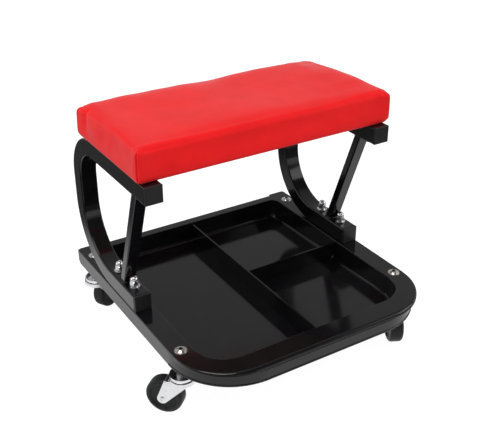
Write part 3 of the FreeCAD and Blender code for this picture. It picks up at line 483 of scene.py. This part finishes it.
def select_in_edit(piece, mode, test):
    """Edit mode with only those vertices, edges or faces selected that pass the test."""
    make_active(piece)
    bpy.ops.object.mode_set(mode="EDIT")
    bpy.ops.mesh.select_mode(type=mode)
    bpy.ops.mesh.select_all(action="DESELECT")
    mesh = bmesh.from_edit_mesh(piece.data)
    parts = {"VERT": mesh.verts, "EDGE": mesh.edges, "FACE": mesh.faces}[mode]
    for part in parts:
        if test(part):
            part.select_set(True)
    mesh.select_flush_mode()
    bmesh.update_edit_mesh(piece.data)


def leave_edit():
    bpy.ops.object.mode_set(mode="OBJECT")


def bevel_edges(piece, test, offset, segments):
    """Rounds the edges that pass the test."""
    select_in_edit(piece, "EDGE", test)
    bpy.ops.mesh.bevel(offset=offset, segments=segments, profile=0.5, affect="EDGES")
    leave_edit()


def close_up(distance):
    """In edit mode: merges doubled vertices, turns the faces outward and leaves."""
    bpy.ops.mesh.select_all(action="SELECT")
    bpy.ops.mesh.remove_doubles(threshold=distance)
    bpy.ops.mesh.select_all(action="SELECT")
    bpy.ops.mesh.normals_make_consistent(inside=False)
    leave_edit()


def apply_modifier(piece, kind, **settings):
    """Adds a modifier, sets it and applies it."""
    make_active(piece)
    modifier = piece.modifiers.new(kind.title(), kind)
    for name, value in settings.items():
        setattr(modifier, name, value)
    bpy.ops.object.modifier_apply(modifier=modifier.name)


def place_in_mesh(piece):
    """Moves the object's place, turn and size into its mesh."""
    make_active(piece)
    bpy.ops.object.transform_apply(location=True, rotation=True, scale=True)


def finish_piece(piece, slot, body, *nodes):
    """Finish, slot, body and the nodes that the piece stands for."""
    piece.data.materials.clear()
    piece.data.materials.append(FINISHES[slot])
    if nodes:
        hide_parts(*nodes)
    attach(piece, body)


def bell(value, width):
    """1 at 0, falling smoothly to nearly 0 past twice the width."""
    return math.exp(-(value / width) ** 2)


def ramp(value, low, high):
    """0 below low, 1 above high, smooth between."""
    t = min(max((value - low) / (high - low), 0.0), 1.0)
    return t * t * (3.0 - 2.0 * t)


# ---------------------------------------------------------------- cushion

# heights above the cushion's foot between which a step sets in
HOLD_LEVELS = (0.004, 0.014)
BODY_LEVELS = (-0.001, 0.008)
LIFT_LEVELS = (0.010, 0.038)
LUMP_LEVELS = (0.024, 0.040)
FOLD_LEVELS = (0.006, 0.030)
UNDER_LEVELS = (0.0008, 0.0022)
# depths below the cover's top between which the crown fades out
CROWN_LEVELS = (0.030, 0.012)
# block and cloth
UPRIGHT = 0.9  # least part of an upright edge's squared length that is height
ROLL_SHARE = 0.9  # part of the top roll that is bevelled before the cloth rounds it
FOOT_DRAW = 0.1  # part of the sides' draw that reaches the foot
SEAM_GRIP = 0.8
GRIP_WIDTH = 0.004
EVEN_ROUNDS = 8
CLOTH = {
    "quality": 6, "mass": 0.25, "tension_stiffness": 15, "compression_stiffness": 15,
    "shear_stiffness": 6, "bending_stiffness": 3, "shrink_min": -0.02, "use_pressure": True,
}
# rim: what counts as rim beside a knot, and where inside the line the lift sets in
RIM_FLOOR = 0.024
RIM_DEPTH = 0.020
KNOT_REACH = 0.005
LIFT_SPAN = (0.100, 0.006)
# fills, crease, lumps, fold and hem
CORNER_REACH = 0.013
RIGHT_SPAN = (0.150, 0.192)
CREASE_STARTS = (-0.192, -0.180)
CREASE_ENDS = (-0.090, 0.060)
CREASE_BACK = 0.0035
CREASE_DOWN = 0.0060
CREASE_WIDTH = 0.0026
PUCKER = (0.6, 0.0070, 0.0040)  # share of the crease's depth, distance from it and width
LUMP_HEIGHT = 0.0009
LUMP_SCALE = 14.0
LUMP_SHIFT = Vector((3.1, 0.7, 5.2))
LEFT_SPAN = (0.176, 0.190)
FOLDS = ((0.0016, 0.026, 0.0045), (-0.0012, 0.016, 0.0060))  # depth, place before the rear, width
HEM_STEP = 0.0012
# corner seams: the finer mesh, the groove's end, its lips and the gathers above it
FINE_BACK = 0.004
FINE_REACH = 0.017
FINE_FOOT = 0.0005
SEAM_TOP = 0.0385
SEAM_END = 0.005
SEAM_SIDE = 0.004
SEAM_BACK = 0.006
SEAM_REACH = 0.03
LIPS = (0.0004, 0.0022, 0.0013)  # height, distance from the groove and width
GATHERS = (0.0006, 7.0, 0.002, 0.006, 0.012)  # height, number, rise above the seam, reach, width
GATHER_SIDE = 0.002


def sets_in(co, levels):
    """0 at the cushion's foot and 1 at its top, eased between two heights above the foot."""
    low, high = levels
    return ramp(co.z, COVER_LOW.z + low, COVER_LOW.z + high)


def cushion_block(sizes):
    """The pad before it swells: a block with its corners and rolls bevelled."""
    low = COVER_LOW + Vector((sizes.shrink, sizes.shrink, 0.0))
    high = COVER_HIGH - Vector((sizes.shrink, sizes.shrink, sizes.shrink + sizes.crown))
    deselect_all()
    bpy.ops.mesh.primitive_cube_add(size=1.0, location=(low + high) / 2)
    piece = named("cushion")
    piece.scale = high - low
    place_in_mesh(piece)

    def upright(edge):
        a, b = (v.co for v in edge.verts)
        return (a - b).z ** 2 > UPRIGHT * (a - b).length_squared

    def level_at(height):
        return lambda edge: all(abs(v.co.z - height) < TOUCHING for v in edge.verts)

    bevel_edges(piece, upright, sizes.corner, segments=6)
    bevel_edges(piece, level_at(high.z), sizes.top_roll * ROLL_SHARE, segments=5)
    bevel_edges(piece, level_at(low.z), sizes.bottom_roll, segments=3)
    piece.data.remesh_voxel_size = sizes.voxel
    piece.data.use_remesh_fix_poles = False
    bpy.ops.object.voxel_remesh()
    return piece


def draw_in_sides(piece, sizes):
    """Pulls the sides in between the corners and crowns the top."""
    middle = (COVER_LOW + COVER_HIGH) / 2
    half = (COVER_HIGH - COVER_LOW) / 2
    foot = COVER_LOW.z + sizes.bottom_roll
    fade, full = CROWN_LEVELS
    for vertex in piece.data.vertices:
        co = vertex.co
        x = (co.x - middle.x) / half.x
        y = (co.y - middle.y) / half.y
        rise = FOOT_DRAW + (1.0 - FOOT_DRAW) * ramp(co.z, foot, COVER_HIGH.z - sizes.top_roll)
        along_x = max(0.0, 1.0 - x * x)
        along_y = max(0.0, 1.0 - y * y)
        rear = sizes.rear_draw if y > 0 else sizes.side_draw
        co.x -= x * sizes.side_draw * rise * along_y
        co.y -= y * rear * rise * along_x
        top = ramp(co.z, COVER_HIGH.z - fade, COVER_HIGH.z - full)
        co.z += sizes.crown * top * (1.0 - x ** 4) * (1.0 - y * y)


def swell(piece, sizes):
    """Pads the block by cloth pressure, held at its foot and along its corner seams."""
    start = [v.co.copy() for v in piece.data.vertices]
    held = piece.vertex_groups.new(name="held")
    corners = corner_centres(sizes)
    for vertex in piece.data.vertices:
        grip = 1.0 - sets_in(vertex.co, HOLD_LEVELS)
        for centre, way in corners:
            across = (vertex.co.xy - centre).dot(Vector((way.y, -way.x)))
            out = (vertex.co.xy - centre).dot(way)
            if out > 0:
                grip = max(grip, SEAM_GRIP * bell(across, GRIP_WIDTH))
        held.add([vertex.index], grip, "REPLACE")
    cloth = piece.modifiers.new("Cloth", "CLOTH")
    for name, value in CLOTH.items():
        setattr(cloth.settings, name, value)
    cloth.settings.uniform_pressure_force = sizes.pressure
    cloth.settings.vertex_group_mass = held.name
    cloth.settings.effector_weights.gravity = 0.0
    cloth.point_cache.frame_start = 1
    cloth.point_cache.frame_end = sizes.frames
    scene = bpy.context.scene
    scene.frame_start = 1
    scene.frame_end = sizes.frames
    for number in range(1, sizes.frames + 1):
        scene.frame_set(number)
    make_active(piece)
    bpy.ops.object.modifier_apply(modifier=cloth.name)
    scene.frame_set(1)
    moves = [v.co - before for v, before in zip(piece.data.vertices, start)]
    moves = [m if m.length <= sizes.travel else m * (sizes.travel / m.length) for m in moves]
    moves = even_out(piece, moves, EVEN_ROUNDS)
    for vertex, before, move in zip(piece.data.vertices, start, moves):
        vertex.co = before + move


def even_out(piece, moves, rounds):
    """The moves of the vertices, each averaged with its neighbours' several times."""
    near = [[] for _ in moves]
    for edge in piece.data.edges:
        first, second = edge.vertices
        near[first].append(second)
        near[second].append(first)
    for _ in range(rounds):
        moves = [(moves[i] + sum((moves[j] for j in near[i]), Vector())) / (1 + len(near[i]))
                 for i in range(len(moves))]
    return moves


def corner_centres(sizes):
    """(centre, way out) of the four upright corners, in plan."""
    found = []
    for x in (COVER_LOW.x + sizes.corner, COVER_HIGH.x - sizes.corner):
        for y in (COVER_LOW.y + sizes.corner, COVER_HIGH.y - sizes.corner):
            way = Vector((math.copysign(1.0, x), 1.0 if y > 0 else -1.0)).normalized()
            found.append((Vector((x, y)), way))
    return found


def fit_to_cover(piece):
    """Stretches the padded piece until it fills the cover's plan and height again."""
    spots = [v.co for v in piece.data.vertices]
    low = [min(co[axis] for co in spots) for axis in range(3)]
    high = [max(co[axis] for co in spots) for axis in range(3)]
    for co in spots:
        for axis in range(3):
            part = (co[axis] - low[axis]) / (high[axis] - low[axis])
            co[axis] = COVER_LOW[axis] + part * (COVER_HIGH[axis] - COVER_LOW[axis])


def between(knots, place):
    """Value at a place on a line of (place, value) knots, eased between them."""
    for (start, first), (end, last) in zip(knots, knots[1:]):
        if place <= end:
            return first + (last - first) * ramp(place, start, end)
    return knots[-1][1]


def lift_rim(piece, knots, along, across, inset, fall):
    """Raises the top beside one edge until lines that fall outward clear it at given heights."""
    line = COVER_HIGH[across] - inset
    fade, full = LIFT_SPAN
    spots = [v.co for v in piece.data.vertices]
    upper = [co for co in spots if co.z > COVER_LOW.z + RIM_FLOOR and co[across] > line - RIM_DEPTH]
    lifts = []
    for place, height in knots:
        near = [co.z + fall * (co[across] - line)
                for co in upper if abs(co[along] - place) < KNOT_REACH]
        if near:
            lifts.append((place, COVER_LOW.z + height - max(near)))
    for co in spots:
        edge = ramp(co[across], line - fade, line - full)
        co.z += between(lifts, co[along]) * sets_in(co, LIFT_LEVELS) * edge


def fill_out(co, corners, sizes):
    """Fills out the four corners and the right side."""
    body = sets_in(co, BODY_LEVELS)
    for centre, way in corners:
        spot = centre + way * sizes.corner
        push = sizes.corner_fill * body * bell((co.xy - spot).length, CORNER_REACH)
        co.x += way.x * push
        co.y += way.y * push
    co.x += sizes.right_fill * body * ramp(co.x, *RIGHT_SPAN)


def crease_front(co, sizes):
    """Lays a crease along the left part of the front roll, with a pucker beside it."""
    run = ramp(co.x, *CREASE_STARTS) * (1.0 - ramp(co.x, *CREASE_ENDS))
    back = co.y - COVER_LOW.y - CREASE_BACK
    away = Vector((0.0, back, co.z - COVER_HIGH.z + CREASE_DOWN)).length
    part, beside, width = PUCKER
    co.y += sizes.crease * run * bell(away, CREASE_WIDTH)
    co.z += sizes.crease * run * (part * bell(away - beside, width) - bell(away, CREASE_WIDTH))


def shape_cushion(piece, sizes):
    """Fills and crease, soft lumps of the filling, the folds before the rear corner, the hem."""
    low, high = COVER_LOW, COVER_HIGH
    corners = corner_centres(sizes)
    for vertex in piece.data.vertices:
        co = vertex.co
        fill_out(co, corners, sizes)
        crease_front(co, sizes)
        top = sets_in(co, LUMP_LEVELS)
        co.z += LUMP_HEIGHT * top * noise.noise(co * LUMP_SCALE + LUMP_SHIFT)
        side = ramp(-co.x, *LEFT_SPAN) * sets_in(co, FOLD_LEVELS)
        for depth, before_rear, width in FOLDS:
            co.x += depth * side * bell(co.y - (high.y - before_rear), width)
        under = 1.0 - sets_in(co, UNDER_LEVELS)
        inside = min(co.x - low.x, high.x - co.x, co.y - low.y, high.y - co.y)
        co.z += sizes.hem_rise * under * ramp(inside, sizes.hem - HEM_STEP, sizes.hem + HEM_STEP)


def sew_corners(piece, sizes):
    """Finer mesh at the four corners, then the seam's groove, its lips and the gathers above it."""
    corners = corner_centres(sizes)

    def near_corner(face):
        spot = face.calc_center_median()
        return any((spot.xy - centre).dot(way) > -FINE_BACK
                   and (spot.xy - centre).length < FINE_REACH
                   for centre, way in corners) and spot.z > COVER_LOW.z + FINE_FOOT

    select_in_edit(piece, "FACE", near_corner)
    bpy.ops.mesh.subdivide(number_cuts=3, smoothness=0.6)
    leave_edit()
    seam_top = COVER_LOW.z + SEAM_TOP
    lip_height, lip_away, lip_width = LIPS
    height, count, above, reach, width = GATHERS
    for vertex in piece.data.vertices:
        co = vertex.co
        for centre, way in corners:
            out = (co.xy - centre).dot(way)
            if out < -SEAM_BACK or (co.xy - centre).length > SEAM_REACH:
                continue
            across = (co.xy - centre).dot(Vector((way.y, -way.x)))
            upright = ramp(out, 0.0, SEAM_SIDE) * (1.0 - ramp(co.z, seam_top, seam_top + SEAM_END))
            groove = -sizes.seam_depth * bell(across, sizes.seam_width)
            lips = lip_height * bell(abs(across) - lip_away, lip_width)
            push = (groove + lips) * upright
            co.x += way.x * push
            co.y += way.y * push
            angle = math.atan2(across, out + SEAM_BACK)
            gather = math.cos(angle * count) * bell(co.z - seam_top - above, reach)
            gather *= bell(across, width) * ramp(out, -SEAM_BACK, GATHER_SIDE)
            co.z += height * gather


class CREEPER_OT_cushion(Operator):
    """Model the padded cushion and simulate its filling"""

    bl_idname = "creeper.cushion"
    bl_label = "Padded cushion"

    def execute(self, context):
        sizes = context.scene.creeper_cushion
        piece = cushion_block(sizes)
        draw_in_sides(piece, sizes)
        swell(piece, sizes)
        apply_modifier(piece, "SMOOTH", factor=0.5, iterations=1)
        apply_modifier(piece, "SUBSURF", levels=1, render_levels=1)
        fit_to_cover(piece)
        lift_rim(piece, REAR_RIM, X, Y, *REAR_SIGHT)
        lift_rim(piece, RIGHT_RIM, Y, X, *RIGHT_SIGHT)
        shape_cushion(piece, sizes)
        sew_corners(piece, sizes)
        make_active(piece)
        bpy.ops.object.shade_smooth()
        finish_piece(piece, "red_vinyl", "base", "seat_cover", "seat_foam")
        return {"FINISHED"}


# ---------------------------------------------------------------- weld beads

BRACE_DEPTH = 0.0128  # where a slanted brace meets a tube
BRACE_ROUND = 0.0022
BEAD_OUT = 0.6
BEAD_UP = 0.8
BEAD_RIPPLES = 17.0
BEAD_GRAIN = 300.0
BEAD_MERGE = 0.00001


def bead_loop(name, middle, width, depth, radius, sizes):
    """A rippled bead round a rounded rectangle."""
    deselect_all()
    bpy.ops.mesh.primitive_plane_add(size=1.0, location=middle)
    piece = named(name)
    piece.scale = (width, depth, 1.0)
    place_in_mesh(piece)
    select_in_edit(piece, "VERT", lambda vertex: True)
    bpy.ops.mesh.bevel(offset=radius, segments=4, affect="VERTICES")
    bpy.ops.mesh.select_all(action="SELECT")
    bpy.ops.mesh.delete(type="ONLY_FACE")
    bpy.ops.mesh.select_all(action="SELECT")
    bpy.ops.mesh.subdivide(number_cuts=7)
    leave_edit()
    bpy.ops.object.convert(target="CURVE")
    piece = bpy.context.active_object
    piece.data.bevel_depth = sizes.bead
    piece.data.bevel_resolution = 3
    bpy.ops.object.convert(target="MESH")
    piece = named(name)
    centre = Vector(middle)
    for vertex in piece.data.vertices:
        away = vertex.co - centre
        turn = math.atan2(away.y * width, away.x * depth)
        ripple = abs(math.sin(turn * BEAD_RIPPLES)) - 0.5
        out = Vector((away.x, away.y, 0.0)).normalized()
        up = Vector((0, 0, math.copysign(BEAD_UP, away.z)))
        vertex.co += (out * BEAD_OUT + up) * sizes.ripple * ripple
        vertex.co.z += sizes.ripple * noise.noise(vertex.co * BEAD_GRAIN)
    select_in_edit(piece, "VERT", lambda vertex: True)
    close_up(BEAD_MERGE)
    bpy.ops.object.shade_smooth()
    return piece


class CREEPER_OT_welds(Operator):
    """Lay weld beads round both ends of the slanted braces"""

    bl_idname = "creeper.welds"
    bl_label = "Weld beads"

    def execute(self, context):
        sizes = context.scene.creeper_wheel
        for side in ("left", "right"):
            low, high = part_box(side + "_brace")
            width = high.x - low.x
            across = (low.x + high.x) / 2
            ends = {
                "foot": (across, high.y - BRACE_DEPTH / 2, low.z),
                "head": (across, low.y + BRACE_DEPTH / 2, high.z),
            }
            for end, middle in ends.items():
                name = "%s_brace_%s_weld" % (side, end)
                bead = bead_loop(name, middle, width, BRACE_DEPTH, BRACE_ROUND, sizes)
                finish_piece(bead, "black_paint", "base")
        return {"FINISHED"}


# ---------------------------------------------------------------- wheels

WHEEL_WIDTH = 0.020
WHEEL_STEPS = 120
WHEEL_MERGE = 0.000005
TREAD_STEPS = 10
RING_PLACE = 0.58  # of the way from the hub to the recess's wall
SOFT_BEND = math.radians(30)  # flatter bends stay as they are
SOFT_REACH = 0.7  # of a step: how far each bend is softened
SOFT_SHARE = 0.4  # most of a line that a softened bend takes up


def wheel_section(radius, width, sizes):
    """(along the axle, away from it) points of a wheel's section, hub to mould line and back."""
    half = width / 2
    floor = half - sizes.recess
    face = radius - sizes.tread_round
    web = face - sizes.rim - sizes.slope
    ring = sizes.hub + (web - sizes.hub) * RING_PLACE
    step = sizes.step
    one_side = [
        (half + step, 0.0), (half + step, sizes.hub - step * 3),
        (half + step * 2, sizes.hub - step * 2), (half + step * 2, sizes.hub),
        (floor, sizes.hub + step * 2), (floor, ring - step * 2),
        (floor + step, ring - step), (floor + step, ring + step), (floor, ring + step * 2),
        (floor, web), (half, web + sizes.slope), (half, face),
    ]
    one_side = soften(one_side, step * SOFT_REACH)
    for number in range(1, TREAD_STEPS + 1):
        turn = math.radians(90.0 / TREAD_STEPS * number)
        one_side.append((half - sizes.tread_round * (1.0 - math.cos(turn)),
                         face + sizes.tread_round * math.sin(turn)))
    one_side.append((sizes.flash_width, radius))
    other_side = [(-along, away) for along, away in reversed(one_side)]
    return one_side + [(0.0, radius + sizes.flash)] + other_side


def soften(points, reach):
    """The line of points with each sharp bend cut into three softer ones."""
    softer = [points[0]]
    for before, corner, after in zip(points, points[1:], points[2:]):
        first, middle, last = Vector(before), Vector(corner), Vector(after)
        back, on = first - middle, last - middle
        if math.pi - back.angle(on) < SOFT_BEND:
            softer.append(corner)
            continue
        start = middle + back.normalized() * min(reach, back.length * SOFT_SHARE)
        end = middle + on.normalized() * min(reach, on.length * SOFT_SHARE)
        softer.extend([tuple(start), tuple((start + 2 * middle + end) / 4), tuple(end)])
    softer.append(points[-1])
    return softer


def model_wheel(name, radius, width, sizes):
    """One wheel turned about the X axis at the origin: round tread, recessed faces, hub rings."""
    deselect_all()
    bpy.ops.mesh.primitive_plane_add(size=width)
    piece = named(name)
    select_in_edit(piece, "VERT", lambda vertex: True)
    bpy.ops.mesh.delete(type="VERT")
    mesh = bmesh.from_edit_mesh(piece.data)
    points = wheel_section(radius - sizes.flash - sizes.lift, width, sizes)
    line = [mesh.verts.new((along, 0.0, away)) for along, away in points]
    for first, last in zip(line, line[1:]):
        mesh.edges.new((first, last))
    bmesh.update_edit_mesh(piece.data)
    bpy.ops.mesh.select_all(action="SELECT")
    bpy.ops.mesh.spin(steps=WHEEL_STEPS, angle=math.tau, center=(0.0, 0.0, 0.0),
                      axis=(1.0, 0.0, 0.0))
    close_up(WHEEL_MERGE)
    bpy.ops.object.shade_smooth_by_angle(angle=math.radians(50))
    return piece


class CREEPER_OT_wheels(Operator):
    """Model one caster wheel and set a copy on each axle"""

    bl_idname = "creeper.wheels"
    bl_label = "Caster wheels"

    def execute(self, context):
        sizes = context.scene.creeper_wheel
        rolls = [j for j in frame["joints"] if j["name"].endswith("_roll")]
        if not rolls:
            raise RuntimeError("the frame has no rolling joints")
        blank = None
        for joint in rolls:
            caster = joint["name"][:-len("_roll")]
            low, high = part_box(caster + "_wheel")
            if blank is None:
                piece = model_wheel(caster + "_tyre", (high.z - low.z) / 2, WHEEL_WIDTH, sizes)
                blank = piece.data.copy()
            else:
                piece = bpy.data.objects.new(caster + "_tyre", blank.copy())
                context.scene.collection.objects.link(piece)
            way = Vector(joint["axis"])
            turn = Vector((1.0, 0.0, 0.0)).rotation_difference(way).to_matrix().to_4x4()
            piece.data.transform(Matrix.Translation(Vector(joint["pos_m"])) @ turn)
            finish_piece(piece, "wheel_rubber", joint["child"], caster + "_wheel")
        bpy.data.meshes.remove(blank)
        return {"FINISHED"}


# ---------------------------------------------------------------- carried-over pieces

class CREEPER_OT_finishes(Operator):
    """Build the finishes and give each carried-over piece its own"""

    bl_idname = "creeper.finishes"
    bl_label = "Finishes"

    def execute(self, context):
        FINISHES.update(build_finishes(context.scene.creeper_finish))
        for part in frame["record"]["subparts"]:
            piece = frame["nodes"][part["node"]]
            for slot in piece.material_slots:
                slot.material = FINISHES[part["material_slot"]]
        return {"FINISHED"}


# ---------------------------------------------------------------- stage

# softboxes: name, place, point that it faces, width and height
SOFTBOXES = (
    ("key", (-0.75, -0.45, 2.2), (0.0, 0.0, 0.18), 1.4, 1.4),
    ("fill", (1.6, -1.0, 1.0), (0.0, 0.0, 0.18), 1.2, 1.2),
    ("side", (-1.8, 0.9, 0.55), (0.0, 0.0, 0.1), 1.6, 0.8),
)
SENSOR_WIDTH = 36.0
FLOOR_MATTE = (0.8, 0.8, 0.8, 1.0)  # as it lights the seat
FLOOR_PALE = (0.22, 0.22, 0.22, 1.0)  # as the camera sees its shadows
FLOOR_GLOW = 0.95
FLOOR_SHADE = 0.62  # darkening of the mirrored floor behind the seat
DARK_ROOM = 0.08  # mirrored room above the front


def choose_by_ray(tree, output, lighting, mirrored, seen):
    """One shader for light that falls on things, one for reflections, one for the camera."""
    rays = tree.nodes.new("ShaderNodeLightPath").outputs
    direct = maths(tree, "MAXIMUM", rays["Is Camera Ray"], rays["Is Glossy Ray"])
    direct = maths(tree, "MAXIMUM", direct, rays["Is Transmission Ray"])
    looks = add_node(tree, "ShaderNodeMixShader", {
        "Fac": rays["Is Camera Ray"], 1: mirrored.outputs[0], 2: seen.outputs[0]})
    mix = add_node(tree, "ShaderNodeMixShader", {
        "Fac": direct, 1: lighting.outputs[0], 2: looks.outputs[0]})
    tree.links.new(mix.outputs[0], output.inputs["Surface"])


def make_floor(size):
    """A white floor that keeps only a faint shadow; mirrored, it is brightest round the seat."""
    deselect_all()
    bpy.ops.mesh.primitive_plane_add(size=size, location=(0.0, 0.0, 0.0))
    floor = named("studio_floor")
    made = bpy.data.materials.new("studio_white")
    made.use_nodes = True
    tree = made.node_tree
    tree.nodes.clear()
    output = tree.nodes.new("ShaderNodeOutputMaterial")
    matte = add_node(tree, "ShaderNodeBsdfDiffuse", {"Color": FLOOR_MATTE})
    pale = add_node(tree, "ShaderNodeBsdfDiffuse", {"Color": FLOOR_PALE})
    glow = add_node(tree, "ShaderNodeEmission", {"Color": WHITE, "Strength": FLOOR_GLOW})
    seen = add_node(tree, "ShaderNodeAddShader", {0: pale.outputs[0], 1: glow.outputs[0]})
    where = tree.nodes.new("ShaderNodeTexCoord").outputs["Object"]
    fade = eased(tree, vector_maths(tree, "LENGTH", where), start=0.36, end=0.57,
                 first=1.0, last=0.12)
    place = split(tree, where)
    behind = eased(tree, place["Y"], start=-0.10, end=0.10)
    beside = eased(tree, place["X"], start=-0.26, end=-0.16)
    shade = maths(tree, "MULTIPLY_ADD", maths(tree, "MULTIPLY", behind, beside),
                  -FLOOR_SHADE, 1.0)
    mirrored = add_node(tree, "ShaderNodeEmission", {
        "Color": WHITE, "Strength": maths(tree, "MULTIPLY", fade, shade)})
    choose_by_ray(tree, output, matte, mirrored, seen)
    floor.data.materials.append(made)


def make_world(ambient):
    """A white room, softer where it lights; mirrored, it is dim overhead and dark in front."""
    world = bpy.context.scene.world or bpy.data.worlds.new("studio")
    bpy.context.scene.world = world
    world.use_nodes = True
    tree = world.node_tree
    tree.nodes.clear()
    output = tree.nodes.new("ShaderNodeOutputWorld")
    soft = add_node(tree, "ShaderNodeBackground", {"Color": WHITE, "Strength": ambient})
    full = add_node(tree, "ShaderNodeBackground", {"Color": WHITE, "Strength": 1.0})
    way = split(tree, tree.nodes.new("ShaderNodeTexCoord").outputs["Generated"])
    overhead = eased(tree, way["Z"], start=0.04, end=0.42, first=1.0, last=0.40)
    front = eased(tree, way["Y"], start=0.02, end=-0.25)
    raised = eased(tree, way["Z"], start=0.12, end=0.30)
    level = add_node(tree, "ShaderNodeMix", {
        "Factor": maths(tree, "MULTIPLY", front, raised), VALUE_A: overhead, VALUE_B: DARK_ROOM})
    mirrored = add_node(tree, "ShaderNodeBackground", {
        "Color": WHITE, "Strength": level.outputs[0]})
    choose_by_ray(tree, output, soft, mirrored, full)


def add_softbox(name, place, aim, width, height, power):
    """A rectangular light that faces a point."""
    data = bpy.data.lights.new(name, "AREA")
    data.shape = "RECTANGLE"
    data.size = width
    data.size_y = height
    data.energy = power
    lamp = bpy.data.objects.new(name, data)
    bpy.context.scene.collection.objects.link(lamp)
    place = Vector(place)
    lamp.location = place
    lamp.rotation_euler = (Vector(aim) - place).to_track_quat("-Z", "Y").to_euler()


class CREEPER_OT_stage(Operator):
    """Set the floor, the room, the lights and the camera"""

    bl_idname = "creeper.stage"
    bl_label = "Studio"

    def execute(self, context):
        settings = context.scene.creeper_stage
        make_floor(settings.floor_size)
        make_world(settings.ambient)
        for name, place, aim, width, height in SOFTBOXES:
            add_softbox(name + "_softbox", place, aim, width, height, getattr(settings, name))
        data = bpy.data.cameras.new("photo_view")
        data.lens = settings.lens
        data.sensor_width = SENSOR_WIDTH
        camera = bpy.data.objects.new("photo_view", data)
        context.scene.collection.objects.link(camera)
        eye = Vector(settings.eye)
        camera.location = eye
        camera.rotation_euler = (Vector(settings.target) - eye).to_track_quat("-Z", "Y").to_euler()
        context.scene.camera = camera
        context.scene.view_settings.view_transform = "Standard"
        return {"FINISHED"}


# ---------------------------------------------------------------- panel and start

class CREEPER_PT_panel(Panel):
    """Sidebar panel of the creeper seat"""

    bl_idname = "CREEPER_PT_panel"
    bl_label = "Creeper Seat"
    bl_space_type = "VIEW_3D"
    bl_region_type = "UI"
    bl_category = "Creeper Seat"

    def draw(self, context):
        for operator, group in STEPS:
            box = self.layout.box()
            box.operator(operator.bl_idname)
            settings = getattr(context.scene, group)
            for name in settings.__annotations__:
                box.prop(settings, name)


SETTINGS = {
    "creeper_finish": FinishSettings,
    "creeper_cushion": CushionSettings,
    "creeper_wheel": WheelSettings,
    "creeper_stage": StageSettings,
}
STEPS = (
    (CREEPER_OT_finishes, "creeper_finish"),
    (CREEPER_OT_cushion, "creeper_cushion"),
    (CREEPER_OT_welds, "creeper_wheel"),
    (CREEPER_OT_wheels, "creeper_wheel"),
    (CREEPER_OT_stage, "creeper_stage"),
)
CLASSES = tuple(SETTINGS.values()) + tuple(step[0] for step in STEPS) + (CREEPER_PT_panel,)


def register():
    for item in CLASSES:
        bpy.utils.register_class(item)
    for name, group in SETTINGS.items():
        setattr(bpy.types.Scene, name, PointerProperty(type=group))


def unregister():
    for name in SETTINGS:
        delattr(bpy.types.Scene, name)
    for item in reversed(CLASSES):
        bpy.utils.unregister_class(item)


def main():
    register()
    bpy.ops.creeper.finishes()
    bpy.ops.creeper.cushion()
    bpy.ops.creeper.welds()
    bpy.ops.creeper.wheels()
    bpy.ops.creeper.stage()
    deselect_all()


if __name__ == "__main__":
    main()
